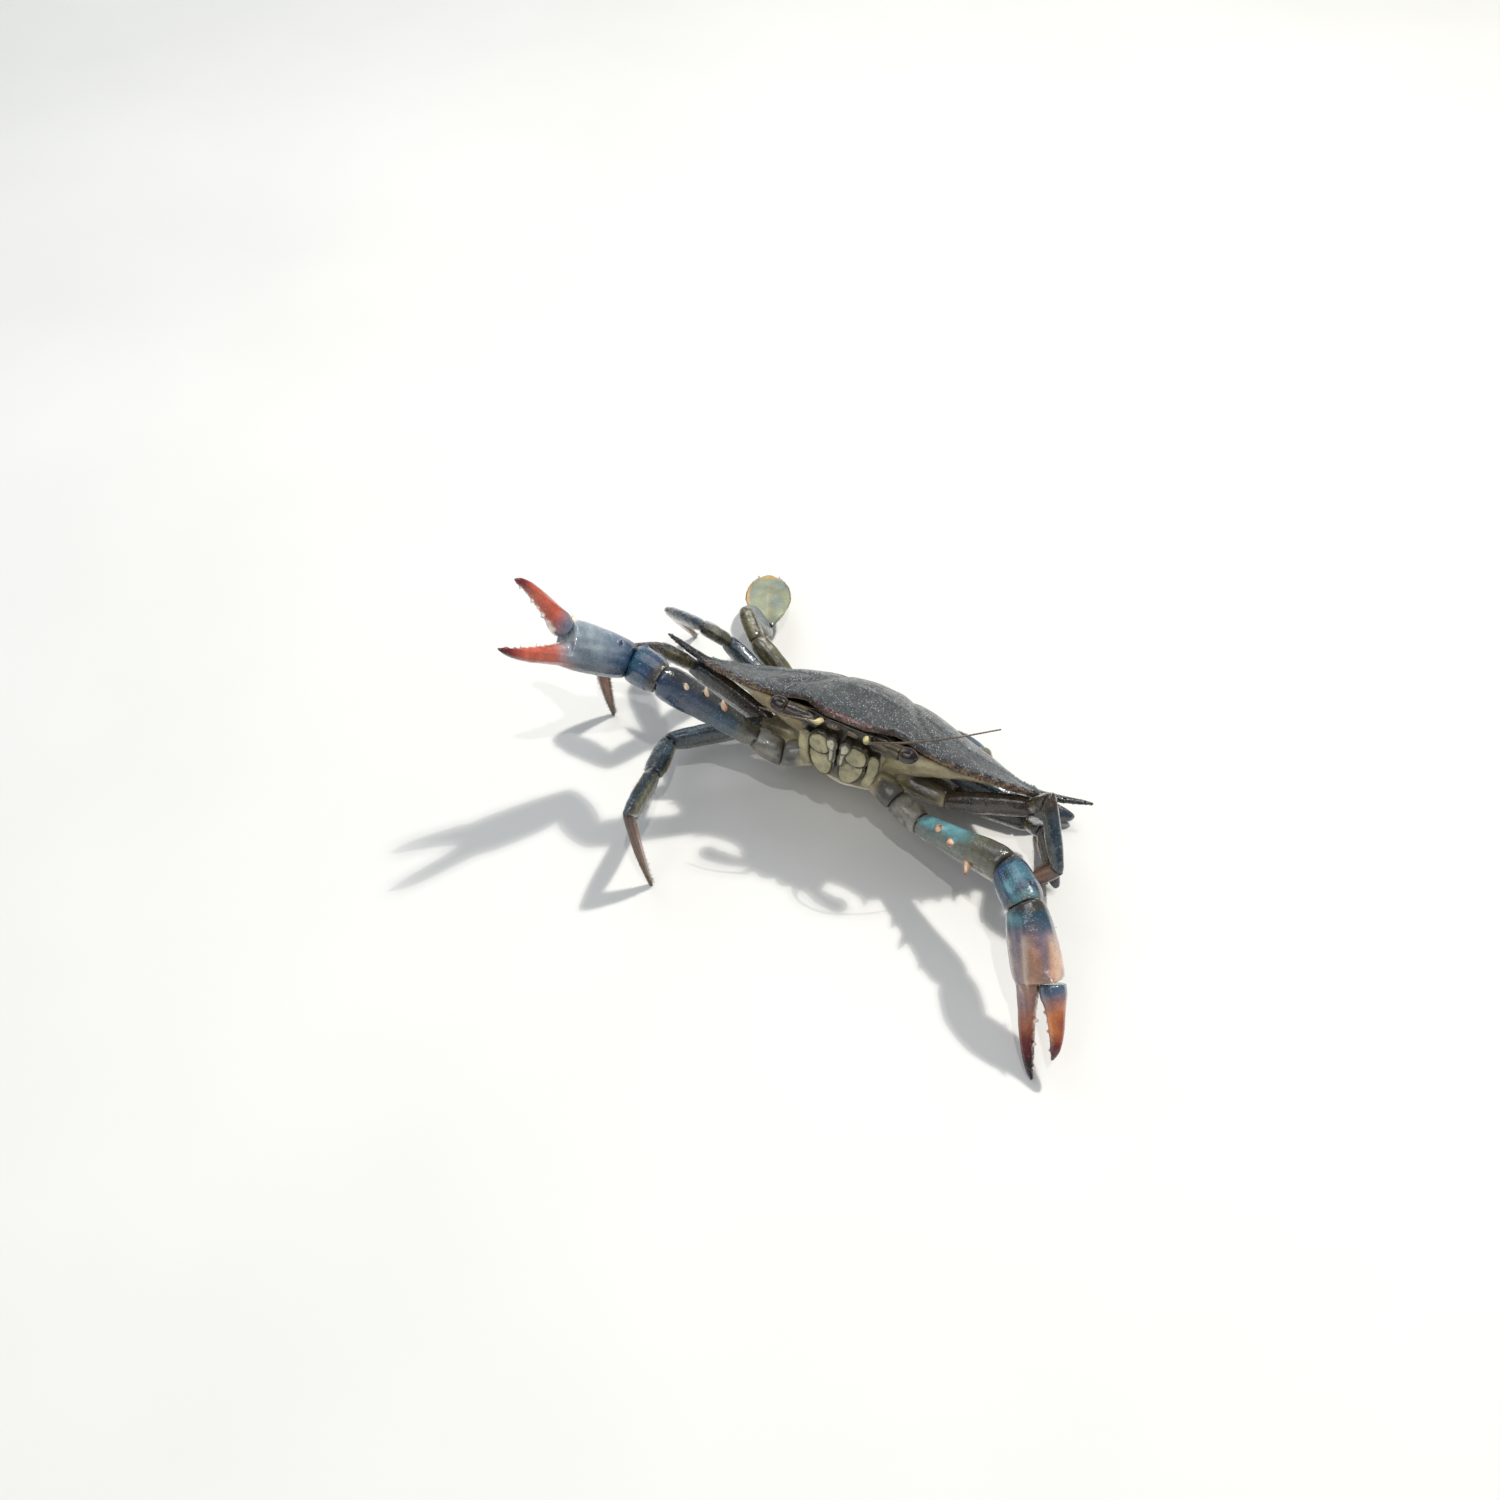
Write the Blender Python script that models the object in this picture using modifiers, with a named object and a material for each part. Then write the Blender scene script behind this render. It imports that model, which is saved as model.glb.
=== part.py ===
"""A life-size female blue crab, standing with its front raised, one claw lifted and one lowered.

Sizes are in millimetres until a mesh is made. The animal's left is +X, its rear is +Y
and up is +Z. The trunk is drawn in the body's own axes, whose origin is the middle of
the shell's rim. Each limb link is drawn along its own X axis from the joint it grows from.
"""

import math

import bmesh
import bpy
import numpy as np
from mathutils import Matrix

MM = 0.001
JOINT_GAP = 0.3
FOOT_DEPTH = 0.6  # a leg is aimed this far under the floor, then cut flat at the floor
SMOOTH_ANGLE = 40.0

# How the body is held: front raised, left side a little lower.
FRONT_RAISED = 42.45
LEFT_LOWERED = 1.95
BODY_HEIGHT = 32.3
CENTRE_X = 1.61
CENTRE_Y = 8.68

# The upper shell, seen from above: distance from the middle, then the margin's place on Y.
SHELL_HALF = 57.5
FRONT_MARGIN = (
    (0.0, -30.2), (8.5, -29.6), (11.5, -27.2), (17.0, -24.8), (22.0, -24.6),
    (25.5, -25.2), (29.0, -24.6), (38.0, -20.6), (47.0, -15.2), (53.0, -10.2), (57.5, -5.2),
)
REAR_MARGIN = (
    (0.0, 30.6), (15.0, 30.3), (22.0, 28.4), (29.0, 23.6), (38.0, 17.2),
    (48.0, 9.8), (57.5, 3.0),
)
SHELL_RISE = 9.9
SHELL_REAR_DROP = 4.2
RIM_TOP = 0.6
RIM_BOTTOM = -1.6
RIM_MIDDLE = (RIM_TOP + RIM_BOTTOM) / 2
SHELL_HIGHEST = 0.46  # share of the way from the front margin to the rear one
SHELL_COLUMNS = 23  # from the middle to one side
SHELL_ROWS = 14
COLUMN_TURN = 0.46  # columns lie closer to the side, by a sine up to this share of a half turn
ROW_TURN = 0.12  # rows lie closer to the margins, by a cosine from this angle on
SHELL_FRONT_FALL = 2.1
SHELL_REAR_FALL = 2.4
SHELL_SIDE_FALL = 2.6

# The rim hangs lower in front, most of all beside the mouth: middle drop, extra, its place and spread.
FRONT_DROP = 0.3
SIDE_DROP = 2.1
SIDE_DROP_AT = 41.0
SIDE_DROP_SPREAD = 15.0
CORNER_DROP = 2.0  # and towards the spines it falls this much more
CORNER_DROP_FROM = 44.0
ORBIT_ARCH = 1.7  # over each eye the rim arches up: height, place and spread
ORBIT_ARCH_AT = 15.5
ORBIT_ARCH_SPREAD = 5.5

# Swellings and furrows of the shell: centre X, centre Y, spread X, spread Y, height.
SHELL_RELIEF = (
    (0.0, -11.0, 10.0, 9.0, 0.8), (0.0, 15.0, 6.5, 6.5, 1.0),
    (26.0, 3.0, 11.0, 10.0, 0.2), (30.0, -17.0, 7.0, 4.0, 0.5),
    (12.5, 8.0, 2.2, 9.0, -0.9), (13.0, -12.0, 2.6, 7.0, -0.6),
    (20.0, -9.0, 6.0, 2.4, -0.5), (20.0, 18.0, 5.0, 7.0, 0.5),
)

# Side teeth of the shell: base X, base Y, reach outward, reach forward, base half width.
SIDE_TEETH = (
    (28.0, -24.4, 1.8, 4.4, 2.3), (33.4, -22.0, 2.2, 3.3, 2.2),
    (37.8, -19.8, 2.5, 3.2, 2.2), (42.0, -17.4, 2.8, 3.1, 2.1),
    (46.0, -15.0, 3.0, 3.0, 2.0), (49.6, -12.4, 3.2, 2.9, 2.0),
    (52.8, -9.6, 3.4, 2.8, 1.9), (55.8, -6.6, 3.7, 2.6, 1.8),
)
# Front teeth between the eyes: X, Y, reach forward, base half width.
FRONT_TEETH = ((2.5, -29.4, 2.4, 2.0), (7.4, -28.9, 2.9, 1.9), (12.3, -26.8, 1.7, 1.2))
TOOTH_HALF_HEIGHT = 1.1
TOOTH_RAISED = 0.5
SPINE_TIP = (75.7, 0.5)
SPINE_FORWARD = 1.5
SPINE_TIP_Z = 0.1
# Along the side spine: X, half width, half height, height of its middle.
SPINE_RINGS = (
    (49.0, 7.4, 0.9, -2.2), (55.0, 4.7, 1.3, -3.2), (60.0, 3.3, 1.5, -3.2), (66.0, 2.3, 1.3, -2.2),
    (71.5, 1.4, 0.95, -0.9), (75.0, 0.7, 0.55, -0.05),
)

# The under body: height, how far its outline has gone from the shell's to the belly's at the sides
# and rear, and in front, then its size.
UNDER_TOP = RIM_BOTTOM - JOINT_GAP
UNDER_DIP = 2.5  # the middle of the upper face lies this much lower, clear of the shell
UNDER_INSET = 1.7
BELLY_HALF_X = 20.0
BELLY_HALF_Y = 18.5
BELLY_CENTRE_Y = 5.5
BELLY_ROUNDNESS = 2.6
UNDER_LEVELS = (
    (UNDER_TOP, 0.0, 0.0, 1.0), (-3.0, 0.05, 0.02, 1.0), (-4.8, 0.22, 0.08, 1.0),
    (-6.8, 0.52, 0.2, 1.0), (-8.8, 0.82, 0.38, 1.0), (-11.0, 0.97, 0.62, 1.0),
    (-13.0, 1.0, 0.9, 1.0), (-15.0, 1.0, 1.0, 1.0), (-18.2, 1.0, 1.0, 0.95),
    (-20.4, 1.0, 1.0, 0.8), (-21.4, 1.0, 1.0, 0.5),
)
UNDER_FRONT = (0.34, 0.56)  # sine of the angle towards the front where the front's figures start and hold
UNDER_SIDES = 44
BELLY_TILT = 0.17  # the belly rises towards the rear by this slope
BELLY_TILT_FROM = -6.0

# The apron: its rear end, length, half width and thickness, and the waves of its segments.
APRON_REAR = 26.0
APRON_LENGTH = 34.0
APRON_HALF = 16.5
APRON_THICKNESS = 1.8
APRON_WAVE = 0.25
APRON_WAVES = 34.0
APRON_TOP = -21.75

# The mouth plates lie on one sloping plane: a point on it, and its slope.
MOUTH_Y = -26.9
MOUTH_Z = -6.2
MOUTH_SLOPE = 55.2
# The block behind them: place down the slope, half width, depth.
FACE_BLOCK = (
    (-4.4, 14.4, 10.0), (3.0, 14.6, 10.0), (10.0, 13.4, 9.0), (16.5, 11.0, 7.0), (18.5, 8.5, 5.0),
)
# The hollow in front of the belly that the mouth plates fold into: its corners on the mouth plane.
MOUTH_HOLLOW = ((-13.6, -4.5, 0.0), (13.6, 24.0, 14.0))
# Outlines of the plates of one side: across from the middle, and down the slope.
MOUTH_ISCHIUM = (
    (1.6, 8.8), (4.0, 7.1), (8.3, 6.8), (9.1, 8.6), (8.0, 12.2), (5.6, 15.2), (2.6, 15.4), (1.2, 12.6),
)
MOUTH_MERUS = ((3.0, 6.3), (2.9, 2.6), (5.0, 0.6), (8.3, 0.8), (9.7, 3.0), (9.2, 6.0), (6.4, 7.4))
MOUTH_PALP = (
    (1.0, 1.4), (2.2, 0.2), (3.8, 0.9), (3.7, 2.6), (2.7, 4.6), (2.5, 7.6), (1.7, 9.2), (0.95, 7.2),
    (1.1, 4.0),
)
MOUTH_BAR = (
    (10.8, 2.6), (12.3, 2.4), (13.0, 5.0), (12.4, 10.0), (10.9, 14.2), (9.6, 14.8), (10.2, 11.0),
    (10.7, 6.5),
)

# Eyes: where the stalk starts, where the eye starts, and the eye's end.
EYE_INNER = (9.6, -28.3, -4.9)
EYE_NECK = (19.4, -30.0, -3.9)
EYE_OUTER = (25.0, -30.2, -3.3)
ORBIT_RADII = (2.4, 3.3, 3.8, 3.2)
EYE_STALK = ((0.0, 1.2, 1.2, 0.0), (0.3, 1.6, 1.6, 0.0), (0.7, 2.1, 2.1, 0.0), (1.0, 2.2, 2.2, 0.0))
EYE = (
    (0.0, 2.0, 2.0, 0.0), (0.25, 2.5, 2.4, 0.0), (0.6, 2.3, 2.3, 0.0), (0.88, 1.4, 1.4, 0.0),
    (1.0, 0.5, 0.5, 0.0),
)

# Feelers: points of each long one, and of the short ones as across, down and out of the mouth plane.
ANTENNA_PATHS = {
    "right": (
        (-7.5, -28.9, -3.6), (-8.4, -31.2, -4.6), (-11.0, -32.6, -4.8), (-15.0, -33.8, -5.4),
        (-20.0, -34.8, -6.0), (-26.0, -35.2, -6.4),
    ),
    "left": (
        (7.5, -28.9, -3.6), (8.4, -31.2, -4.6), (11.4, -33.6, -3.6), (19.0, -35.0, -0.4),
        (31.0, -32.0, 5.5), (44.0, -24.0, 13.4),
    ),
}
ANTENNA_POINTS = 14
ANTENNA_RADII = ((0.0, 1.0), (0.16, 1.05), (0.24, 0.7), (0.32, 0.45), (1.0, 0.26))
ANTENNULE_PATH = ((1.2, -3.1, 0.7), (2.2, -3.5, 1.4), (3.8, -3.6, 1.6), (5.2, -3.2, 1.4))
ANTENNULE_RADII = (0.55, 0.75, 0.7, 0.5)

# Legs: the hip joint and the start of its fused first link, both in the body's axes.
HIPS = {
    "right_2": (-33.0, -3.0, -16.0), "right_3": (-33.0, 5.5, -15.0),
    "right_4": (-28.0, 20.5, -12.5), "right_5": (-24.0, 27.0, -10.8),
    "left_2": (33.0, -3.0, -16.0), "left_3": (33.0, 5.5, -15.0),
    "left_4": (28.0, 19.0, -10.0), "left_5": (24.0, 27.0, -10.5),
}
HIP_STARTS = {
    "2": (13.0, -3.0, -14.5), "3": (13.0, 5.0, -13.5),
    "4": (12.0, 15.0, -10.5), "5": (9.0, 21.0, -9.0),
}
# Each link is: length, bearing and rise in degrees. A rise of None reaches the floor.
LEG_LINKS = {
    "right_2": ((31.0, -146, -9), (17.0, -77, 8), (25.9, -77, 18), (30.7, -10.9, None)),
    "right_3": ((33.3, 172, 13), (18.5, -118, 50), (24.1, -171, -23), (31.6, 43.7, None)),
    "right_4": ((36.7, 165, 23), (16.7, -115, 52), (22.1, 152, -25), (34.6, 94, None)),
    "right_5": ((33.7, 164, 32), (11.8, 135, 9), (17.8, 77, -51), (27.5, 116, -1)),
    "left_2": ((27.4, 11.6, 12.8), (14.0, -45.8, 55.8), (21.0, -48.6, -50.7), (28.3, 174.9, None)),
    "left_3": ((26.0, 9, -8), (14.5, -56, 40), (16.0, -36, -54), (27.5, 121, None)),
    "left_4": ((25.9, 0, -8), (11.5, 35, -18), (17.7, 172, 0), (29.4, -149, None)),
    "left_5": ((13.5, 12, 15), (9.2, 118, -12), (16.6, 176, -6), (26.1, -173, -3)),
}

# The way the flat side of a swimming leg's last link but one faces. The others face up.
PROPODUS_FACING = {"right_5": (0.77, 0.52, 0.55)}

# Claws: hip and elbow in the body's axes, then links as for the legs.
CLAW_HIP_START = (11.0, -11.0, -16.5)
CLAW_HIP = (20.0, -12.5, -20.6)
CLAW_ELBOW = {"right": (30.0, -15.0, -18.8), "left": (30.0, -14.0, -24.0)}
CLAW_LINKS = {
    "right": ((37.2, -159, 38), (15.0, 161, -11), (26.0, -130, 38), (25.0, -110, 26)),
    "left": ((37.0, -23.0, 19.9), (15.0, -49.7, 6.9), (22.0, -47.1, -43.2), (28.7, -69.0, -47.8)),
}
MOVING_FINGER_TIP = {"right": (27.0, -169, 60), "left": (23.1, -51.1, -33.8)}
CLAW_TOP = {"right": (-0.25, 0.81, 0.53), "left": (0.826, 0.049, 0.561)}
# Thorns of the arm: where their base and tip stand from its middle, how far the tip leans on,
# their half width and half height, then share of the length, reach and the way each one points.
ARM_THORN_BASE = 2.6
ARM_THORN_RISE = 4.4
ARM_THORN_LEAN = 0.07
ARM_THORN_SIZE = (1.5, 1.3)
ARM_THORNS = {
    "right": (
        (0.42, 2.6, (0.35, 0.0, 0.94)), (0.61, 3.2, (0.34, 0.04, 0.94)), (0.8, 3.8, (0.34, -0.3, 0.89)),
    ),
    "left": (
        (0.28, 2.6, (0.32, -0.41, 0.85)), (0.46, 3.2, (0.29, -0.72, 0.64)), (0.67, 3.8, (0.1, -0.99, 0.02)),
    ),
}

# Shapes along a link: share of the length, half height, half thickness, lift.
HIP = ((0.0, 3.4, 3.4, 0.0), (0.6, 3.7, 3.5, 0.0), (0.9, 3.3, 3.0, 0.0), (1.0, 2.6, 2.4, 0.0))
CLAW_HIP_SHAPE = ((0.0, 4.4, 4.4, 0.0), (0.7, 4.6, 4.4, 0.0), (1.0, 4.0, 3.8, 0.0))
WALKING_MERUS = (
    (0.0, 2.8, 2.3, 0.0), (0.14, 3.6, 2.6, 0.0), (0.55, 4.3, 2.9, 0.1),
    (0.86, 4.0, 2.9, 0.0), (1.0, 3.1, 2.4, 0.0),
)
WALKING_CARPUS = ((0.0, 3.0, 2.3, 0.0), (0.3, 3.7, 2.7, 0.2), (0.75, 3.9, 2.7, 0.2), (1.0, 3.1, 2.2, 0.0))
WALKING_PROPODUS = (
    (0.0, 3.0, 2.0, 0.0), (0.2, 3.9, 2.3, 0.0), (0.6, 4.3, 2.3, 0.0),
    (0.9, 3.4, 1.9, 0.0), (1.0, 2.5, 1.6, 0.0),
)
WALKING_DACTYL = (
    (0.0, 2.3, 1.5, 0.0), (0.15, 2.7, 1.5, 0.3), (0.45, 2.2, 1.25, 0.8),
    (0.75, 1.4, 0.9, 0.6), (0.93, 0.8, 0.65, 0.1), (1.0, 0.6, 0.55, 0.0),
)
SWIM_MERUS = (
    (0.0, 2.4, 2.3, 0.0), (0.25, 3.1, 2.9, 0.0), (0.7, 4.4, 3.7, 0.0),
    (0.9, 4.2, 3.5, 0.0), (1.0, 3.3, 2.8, 0.0),
)
SWIM_CARPUS = ((0.0, 3.0, 2.7, 0.0), (0.35, 3.5, 3.0, 0.0), (0.75, 3.6, 3.0, 0.0), (1.0, 2.7, 2.2, 0.0))
SWIM_PROPODUS = (
    (0.0, 1.7, 2.1, 0.0), (0.3, 1.8, 4.8, 0.0), (0.65, 1.6, 6.0, 0.0),
    (0.9, 1.3, 4.8, 0.0), (1.0, 1.0, 3.2, 0.0),
)
PADDLE = (
    (0.0, 0.9, 2.4, 0.0), (0.1, 1.0, 3.8, 0.0), (0.28, 1.0, 6.6, 0.0),
    (0.52, 0.9, 8.7, 0.0), (0.72, 0.75, 8.0, 0.0), (0.88, 0.6, 5.6, 0.0),
    (0.97, 0.4, 2.8, 0.0), (1.0, 0.3, 1.2, 0.0),
)
CLAW_BASE = ((0.0, 4.1, 3.9, 0.0), (0.5, 4.6, 4.1, 0.0), (1.0, 3.9, 3.6, 0.0))
CLAW_MERUS = (
    (0.0, 3.5, 3.3, 0.0), (0.12, 3.9, 3.6, 0.0), (0.5, 4.9, 4.0, 0.2),
    (0.82, 6.1, 4.9, 0.3), (0.94, 6.0, 4.8, 0.2), (1.0, 5.1, 4.2, 0.0),
)
CLAW_CARPUS = (
    (0.0, 4.9, 4.1, 0.0), (0.22, 5.8, 4.9, 0.3), (0.65, 6.2, 5.3, 0.3),
    (0.9, 6.0, 5.0, 0.2), (1.0, 5.3, 4.4, 0.0),
)
PALM = (
    (0.0, 5.5, 4.5, 0.0), (0.12, 6.4, 5.2, 0.1), (0.5, 7.5, 5.7, 0.2),
    (0.85, 7.9, 5.6, 0.2), (1.0, 7.5, 5.3, 0.2),
)
FIXED_FINGER = (
    (-0.22, 3.2, 3.6, 0.0), (0.0, 3.7, 3.7, 0.0), (0.2, 2.9, 2.8, -0.4),
    (0.55, 2.2, 2.1, -0.7), (0.85, 1.3, 1.3, -0.1), (1.0, 0.45, 0.45, 0.9),
)
MOVING_FINGER = (
    (0.0, 3.7, 3.9, 0.7), (0.12, 3.9, 3.8, 0.7), (0.3, 3.0, 2.9, 1.2),
    (0.6, 2.2, 2.1, 1.3), (0.86, 1.35, 1.3, 0.7), (1.0, 0.5, 0.5, -0.6),
)
FIXED_FINGER_DROP = 3.4
MOVING_FINGER_RISE = 3.6
MOVING_FINGER_AHEAD = 0.9
PALM_STEP_LEVEL = 0.4
FINGER_TEETH = 7
FINGER_TOOTH = 1.5
FINGER_TEETH_FROM = 0.14  # share of the finger where the first tooth stands, and the last
FINGER_TEETH_TO = 0.86
SMALL_TOOTH = 0.65  # size of every other tooth against the first
TOOTH_SEAT = 0.86  # a tooth's root lies this share of the finger's half height from its middle
TOOTH_ROOT = 0.9
BLUNT = 0.4
# Single thorns of a claw: share of the link, reach across and reach up of the base, then of the tip,
# and the half width and half height of the base. The first two are turned by the claw's thorn way.
THORN_WAY = {"right": (0.0, 1.0), "left": (-0.6, 0.8)}
WRIST_THORN = ((0.72, 4.0, 4.2), (0.86, 7.8, 8.2), (1.6, 1.5))
HINGE_THORN = ((0.84, 5.6, 6.0), (0.98, 9.4, 9.8), (1.5, 1.4))
PALM_THORN = ((0.3, 3.4, 3.2), (0.4, 7.6, 4.6), (1.4, 1.3))


def unit(vector):
    vector = np.asarray(vector, float)
    return vector / np.linalg.norm(vector)


def direction(bearing, rise):
    """The unit vector at this bearing from +X towards +Y and this rise over the floor."""
    bearing, rise = math.radians(bearing), math.radians(rise)
    flat = math.cos(rise)
    return np.array([flat * math.cos(bearing), flat * math.sin(bearing), math.sin(rise)])


def body_axes():
    turn = Matrix.Rotation(math.radians(LEFT_LOWERED), 3, "Y")
    turn = turn @ Matrix.Rotation(math.radians(-FRONT_RAISED), 3, "X")
    return np.array(turn)


BODY_AXES = body_axes()
BODY_PLACE = np.array([CENTRE_X, CENTRE_Y, BODY_HEIGHT])


def in_world(point):
    """A point of the body's own axes, in the model's axes."""
    return BODY_AXES @ np.asarray(point, float) + BODY_PLACE


def on_side(sign, point):
    """A point given for the animal's left side, moved to the side of this sign."""
    return np.array([sign * point[0], point[1], point[2]])


def link_axes(along, top):
    """Axes of a link, as columns: along it, across it, and its top."""
    along = unit(along)
    top = np.asarray(top, float)
    top = unit(top - (top @ along) * along)
    return np.stack([along, np.cross(top, along), top], axis=1)


def eased(table, at):
    """The table's rows at these shares, joined by smooth curves that don't overshoot."""
    table = np.asarray(table, float)
    at = np.asarray(at, float)
    knots, values = table[:, 0], table[:, 1:]
    steps = np.diff(knots)[:, None]
    slopes = np.diff(values, axis=0) / steps
    ends = np.zeros_like(values)
    with np.errstate(divide="ignore", invalid="ignore"):
        mean = 2.0 / (1.0 / slopes[1:] + 1.0 / slopes[:-1])
    ends[1:-1] = np.where(slopes[1:] * slopes[:-1] > 0, mean, 0.0)
    ends[0], ends[-1] = slopes[0], slopes[-1]
    piece = np.clip(np.searchsorted(knots, at, side="right") - 1, 0, len(knots) - 2)
    width = steps[piece]
    t = ((at - knots[piece]) / steps[piece, 0])[:, None]
    rise = 3 * t**2 - 2 * t**3
    low = (1 - rise) * values[piece] + (t**3 - 2 * t**2 + t) * width * ends[piece]
    return low + rise * values[piece + 1] + (t**3 - t**2) * width * ends[piece + 1]


def lofted(rings, first_middle=None, last_middle=None):
    """Points and faces of a closed skin over rings of equal count, closed by fans."""
    rings = np.asarray(rings, float)
    count, sides = rings.shape[:2]
    first_middle = rings[0].mean(axis=0) if first_middle is None else first_middle
    last_middle = rings[-1].mean(axis=0) if last_middle is None else last_middle
    points = np.vstack([rings.reshape(-1, 3), first_middle, last_middle])
    faces = []
    for ring in range(count - 1):
        for side in range(sides):
            a, b = ring * sides + side, ring * sides + (side + 1) % sides
            faces.append((a, b, b + sides, a + sides))
    last = (count - 1) * sides
    for side in range(sides):
        after = (side + 1) % sides
        faces.append((after, side, count * sides))
        faces.append((last + side, last + after, count * sides + 1))
    return points, faces


def placed(skin, axes, origin):
    """A skin of a link's axes, moved to the axes around it."""
    points, faces = skin
    return points @ np.asarray(axes).T + origin, faces


def taken(shape):
    """Points and faces of a bmesh, which is then freed."""
    bmesh.ops.recalc_face_normals(shape, faces=shape.faces)
    shape.verts.index_update()
    points = np.array([corner.co[:] for corner in shape.verts])
    faces = [tuple(corner.index for corner in face.verts) for face in shape.faces]
    shape.free()
    return points, faces


def box_skin(low, high, place):
    """A box between two corners, each corner moved by a placing function."""
    shape = bmesh.new()
    bmesh.ops.create_cube(shape, size=1.0)
    points, faces = taken(shape)
    low, high = np.array(low), np.array(high)
    corners = low + (points + 0.5) * (high - low)
    return np.array([place(*corner) for corner in corners]), faces


def cone_skin(base, tip, half_width, half_height, flat, sides=6, tip_share=0.0):
    """A spine from its flattened base to its tip. Its height lies along the way given as flat."""
    base, tip = np.asarray(base, float), np.asarray(tip, float)
    shape = bmesh.new()
    bmesh.ops.create_cone(shape, cap_ends=True, segments=sides, radius1=1.0, radius2=tip_share, depth=1.0)
    points, faces = taken(shape)
    axes = link_axes(tip - base, flat)
    along = (points[:, 2:] + 0.5) * np.linalg.norm(tip - base) * axes[:, 0]
    across = points[:, 1:2] * half_width * axes[:, 1]
    return base + along + across + points[:, :1] * half_height * axes[:, 2], faces


def curve_skin(curve):
    """Points and faces of a curve's solid, its caps welded to its sides."""
    carrier = bpy.data.objects.new("guide", curve)
    bpy.context.scene.collection.objects.link(carrier)
    graph = bpy.context.evaluated_depsgraph_get()
    mesh = bpy.data.meshes.new_from_object(carrier.evaluated_get(graph))
    shape = bmesh.new()
    shape.from_mesh(mesh)
    bmesh.ops.remove_doubles(shape, verts=shape.verts, dist=0.0001)
    bpy.data.objects.remove(carrier, do_unlink=True)
    bpy.data.meshes.remove(mesh)
    bpy.data.curves.remove(curve)
    return taken(shape)


def tube_skin(path, radii, roundness=1):
    """A round tube along a path, from a bevelled curve with closed ends."""
    curve = bpy.data.curves.new("guide", "CURVE")
    curve.dimensions = "3D"
    curve.bevel_depth = 1.0
    curve.bevel_resolution = roundness
    curve.use_fill_caps = True
    spline = curve.splines.new("POLY")
    spline.points.add(len(path) - 1)
    for point, place, radius in zip(spline.points, path, radii):
        point.co = (*place, 1.0)
        point.radius = radius
    return curve_skin(curve)


def plate_skin(outline, base, thickness, edge=0.3):
    """A plate on the mouth plane with chamfered edges, from a flat outline curve."""
    outline = np.asarray(outline, float)
    after = np.roll(outline, -1, axis=0)
    if (outline[:, 0] * after[:, 1] - after[:, 0] * outline[:, 1]).sum() < 0:
        outline = outline[::-1]
    inward = outline.mean(axis=0) - outline
    outline = outline + inward / np.linalg.norm(inward, axis=1)[:, None] * edge
    curve = bpy.data.curves.new("guide", "CURVE")
    curve.dimensions = "2D"
    curve.fill_mode = "BOTH"
    curve.extrude = thickness / 2 - edge
    curve.bevel_depth = edge
    curve.bevel_resolution = 0
    curve.resolution_u = 3
    spline = curve.splines.new("BEZIER")
    spline.bezier_points.add(len(outline) - 1)
    spline.use_cyclic_u = True
    for point, (across, down) in zip(spline.bezier_points, outline):
        point.co = (across, down, 0.0)
        point.handle_left_type = point.handle_right_type = "AUTO"
    points, faces = curve_skin(curve)
    return np.array([mouth_point(x, y, z + base + thickness / 2) for x, y, z in points]), faces


def section(half_height, half_thickness, sides, power):
    """One closed section round X: thickness on Y, height on Z."""
    angle = np.arange(sides) * 2 * math.pi / sides + math.pi / sides
    cos, sin = np.cos(angle), np.sin(angle)
    y = half_thickness * np.sign(cos) * np.abs(cos) ** (2 / power)
    z = half_height * np.sign(sin) * np.abs(sin) ** (2 / power)
    return y, z


def link_skin(length, shape, rings, sides, start_face, end_face, power=2.3):
    """A link along X. Each end lies on the plane through its joint with the given normal."""
    low, high = shape[0][0], shape[-1][0]
    shares = low + (high - low) * (0.5 - 0.5 * np.cos(np.linspace(0, math.pi, rings)))
    sized = eased(shape, shares)
    half_gap = JOINT_GAP / 2

    def start_shift(y, z):
        return (half_gap - y * start_face[1] - z * start_face[2]) / start_face[0]

    def end_shift(y, z):
        return (-half_gap - y * end_face[1] - z * end_face[2]) / end_face[0]

    slants = sum(math.hypot(*face[1:]) / face[0] for face in (start_face, end_face))
    slant = max(row[1] for row in shape) * max(slants, 0.02)
    fade = min(max(0.9 * length / slant, 1.0), 4.0)
    skin = []
    for share, (height, thickness, lift) in zip(shares, sized):
        y, z = section(height, thickness, sides, power)
        z = z + lift
        x = length * share + start_shift(y, z) * (1 - share) ** fade + end_shift(y, z) * share**fade
        skin.append(np.stack([x, y, z], axis=1))
    first = np.array([start_shift(0, 0), 0.0, 0.0]) if low == 0 else None
    last = np.array([length + end_shift(0, sized[-1][2]), 0.0, sized[-1][2]])
    return lofted(skin, first, last)


def clear_scene():
    for item in list(bpy.data.objects):
        bpy.data.objects.remove(item, do_unlink=True)


def painted(name, colour, roughness):
    """The material of this name, made at its first use."""
    found = bpy.data.materials.get(name)
    if found:
        return found
    made = bpy.data.materials.new(name)
    made.use_nodes = True
    shader = made.node_tree.nodes["Principled BSDF"]
    shader.inputs["Base Color"].default_value = (*colour, 1.0)
    shader.inputs["Roughness"].default_value = roughness
    return made


def shell_slate():
    return painted("shell_slate", (0.045, 0.055, 0.05), 0.24)


def under_cream():
    return painted("under_cream", (0.45, 0.36, 0.22), 0.3)


def apron_cream():
    return painted("apron_cream", (0.5, 0.44, 0.34), 0.3)


def mouth_olive():
    return painted("mouth_olive", (0.38, 0.33, 0.14), 0.28)


def eye_brown():
    return painted("eye_brown", (0.03, 0.018, 0.012), 0.08)


def stalk_green():
    return painted("stalk_green", (0.12, 0.12, 0.07), 0.2)


def antenna_brown():
    return painted("antenna_brown", (0.16, 0.12, 0.06), 0.45)


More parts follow.
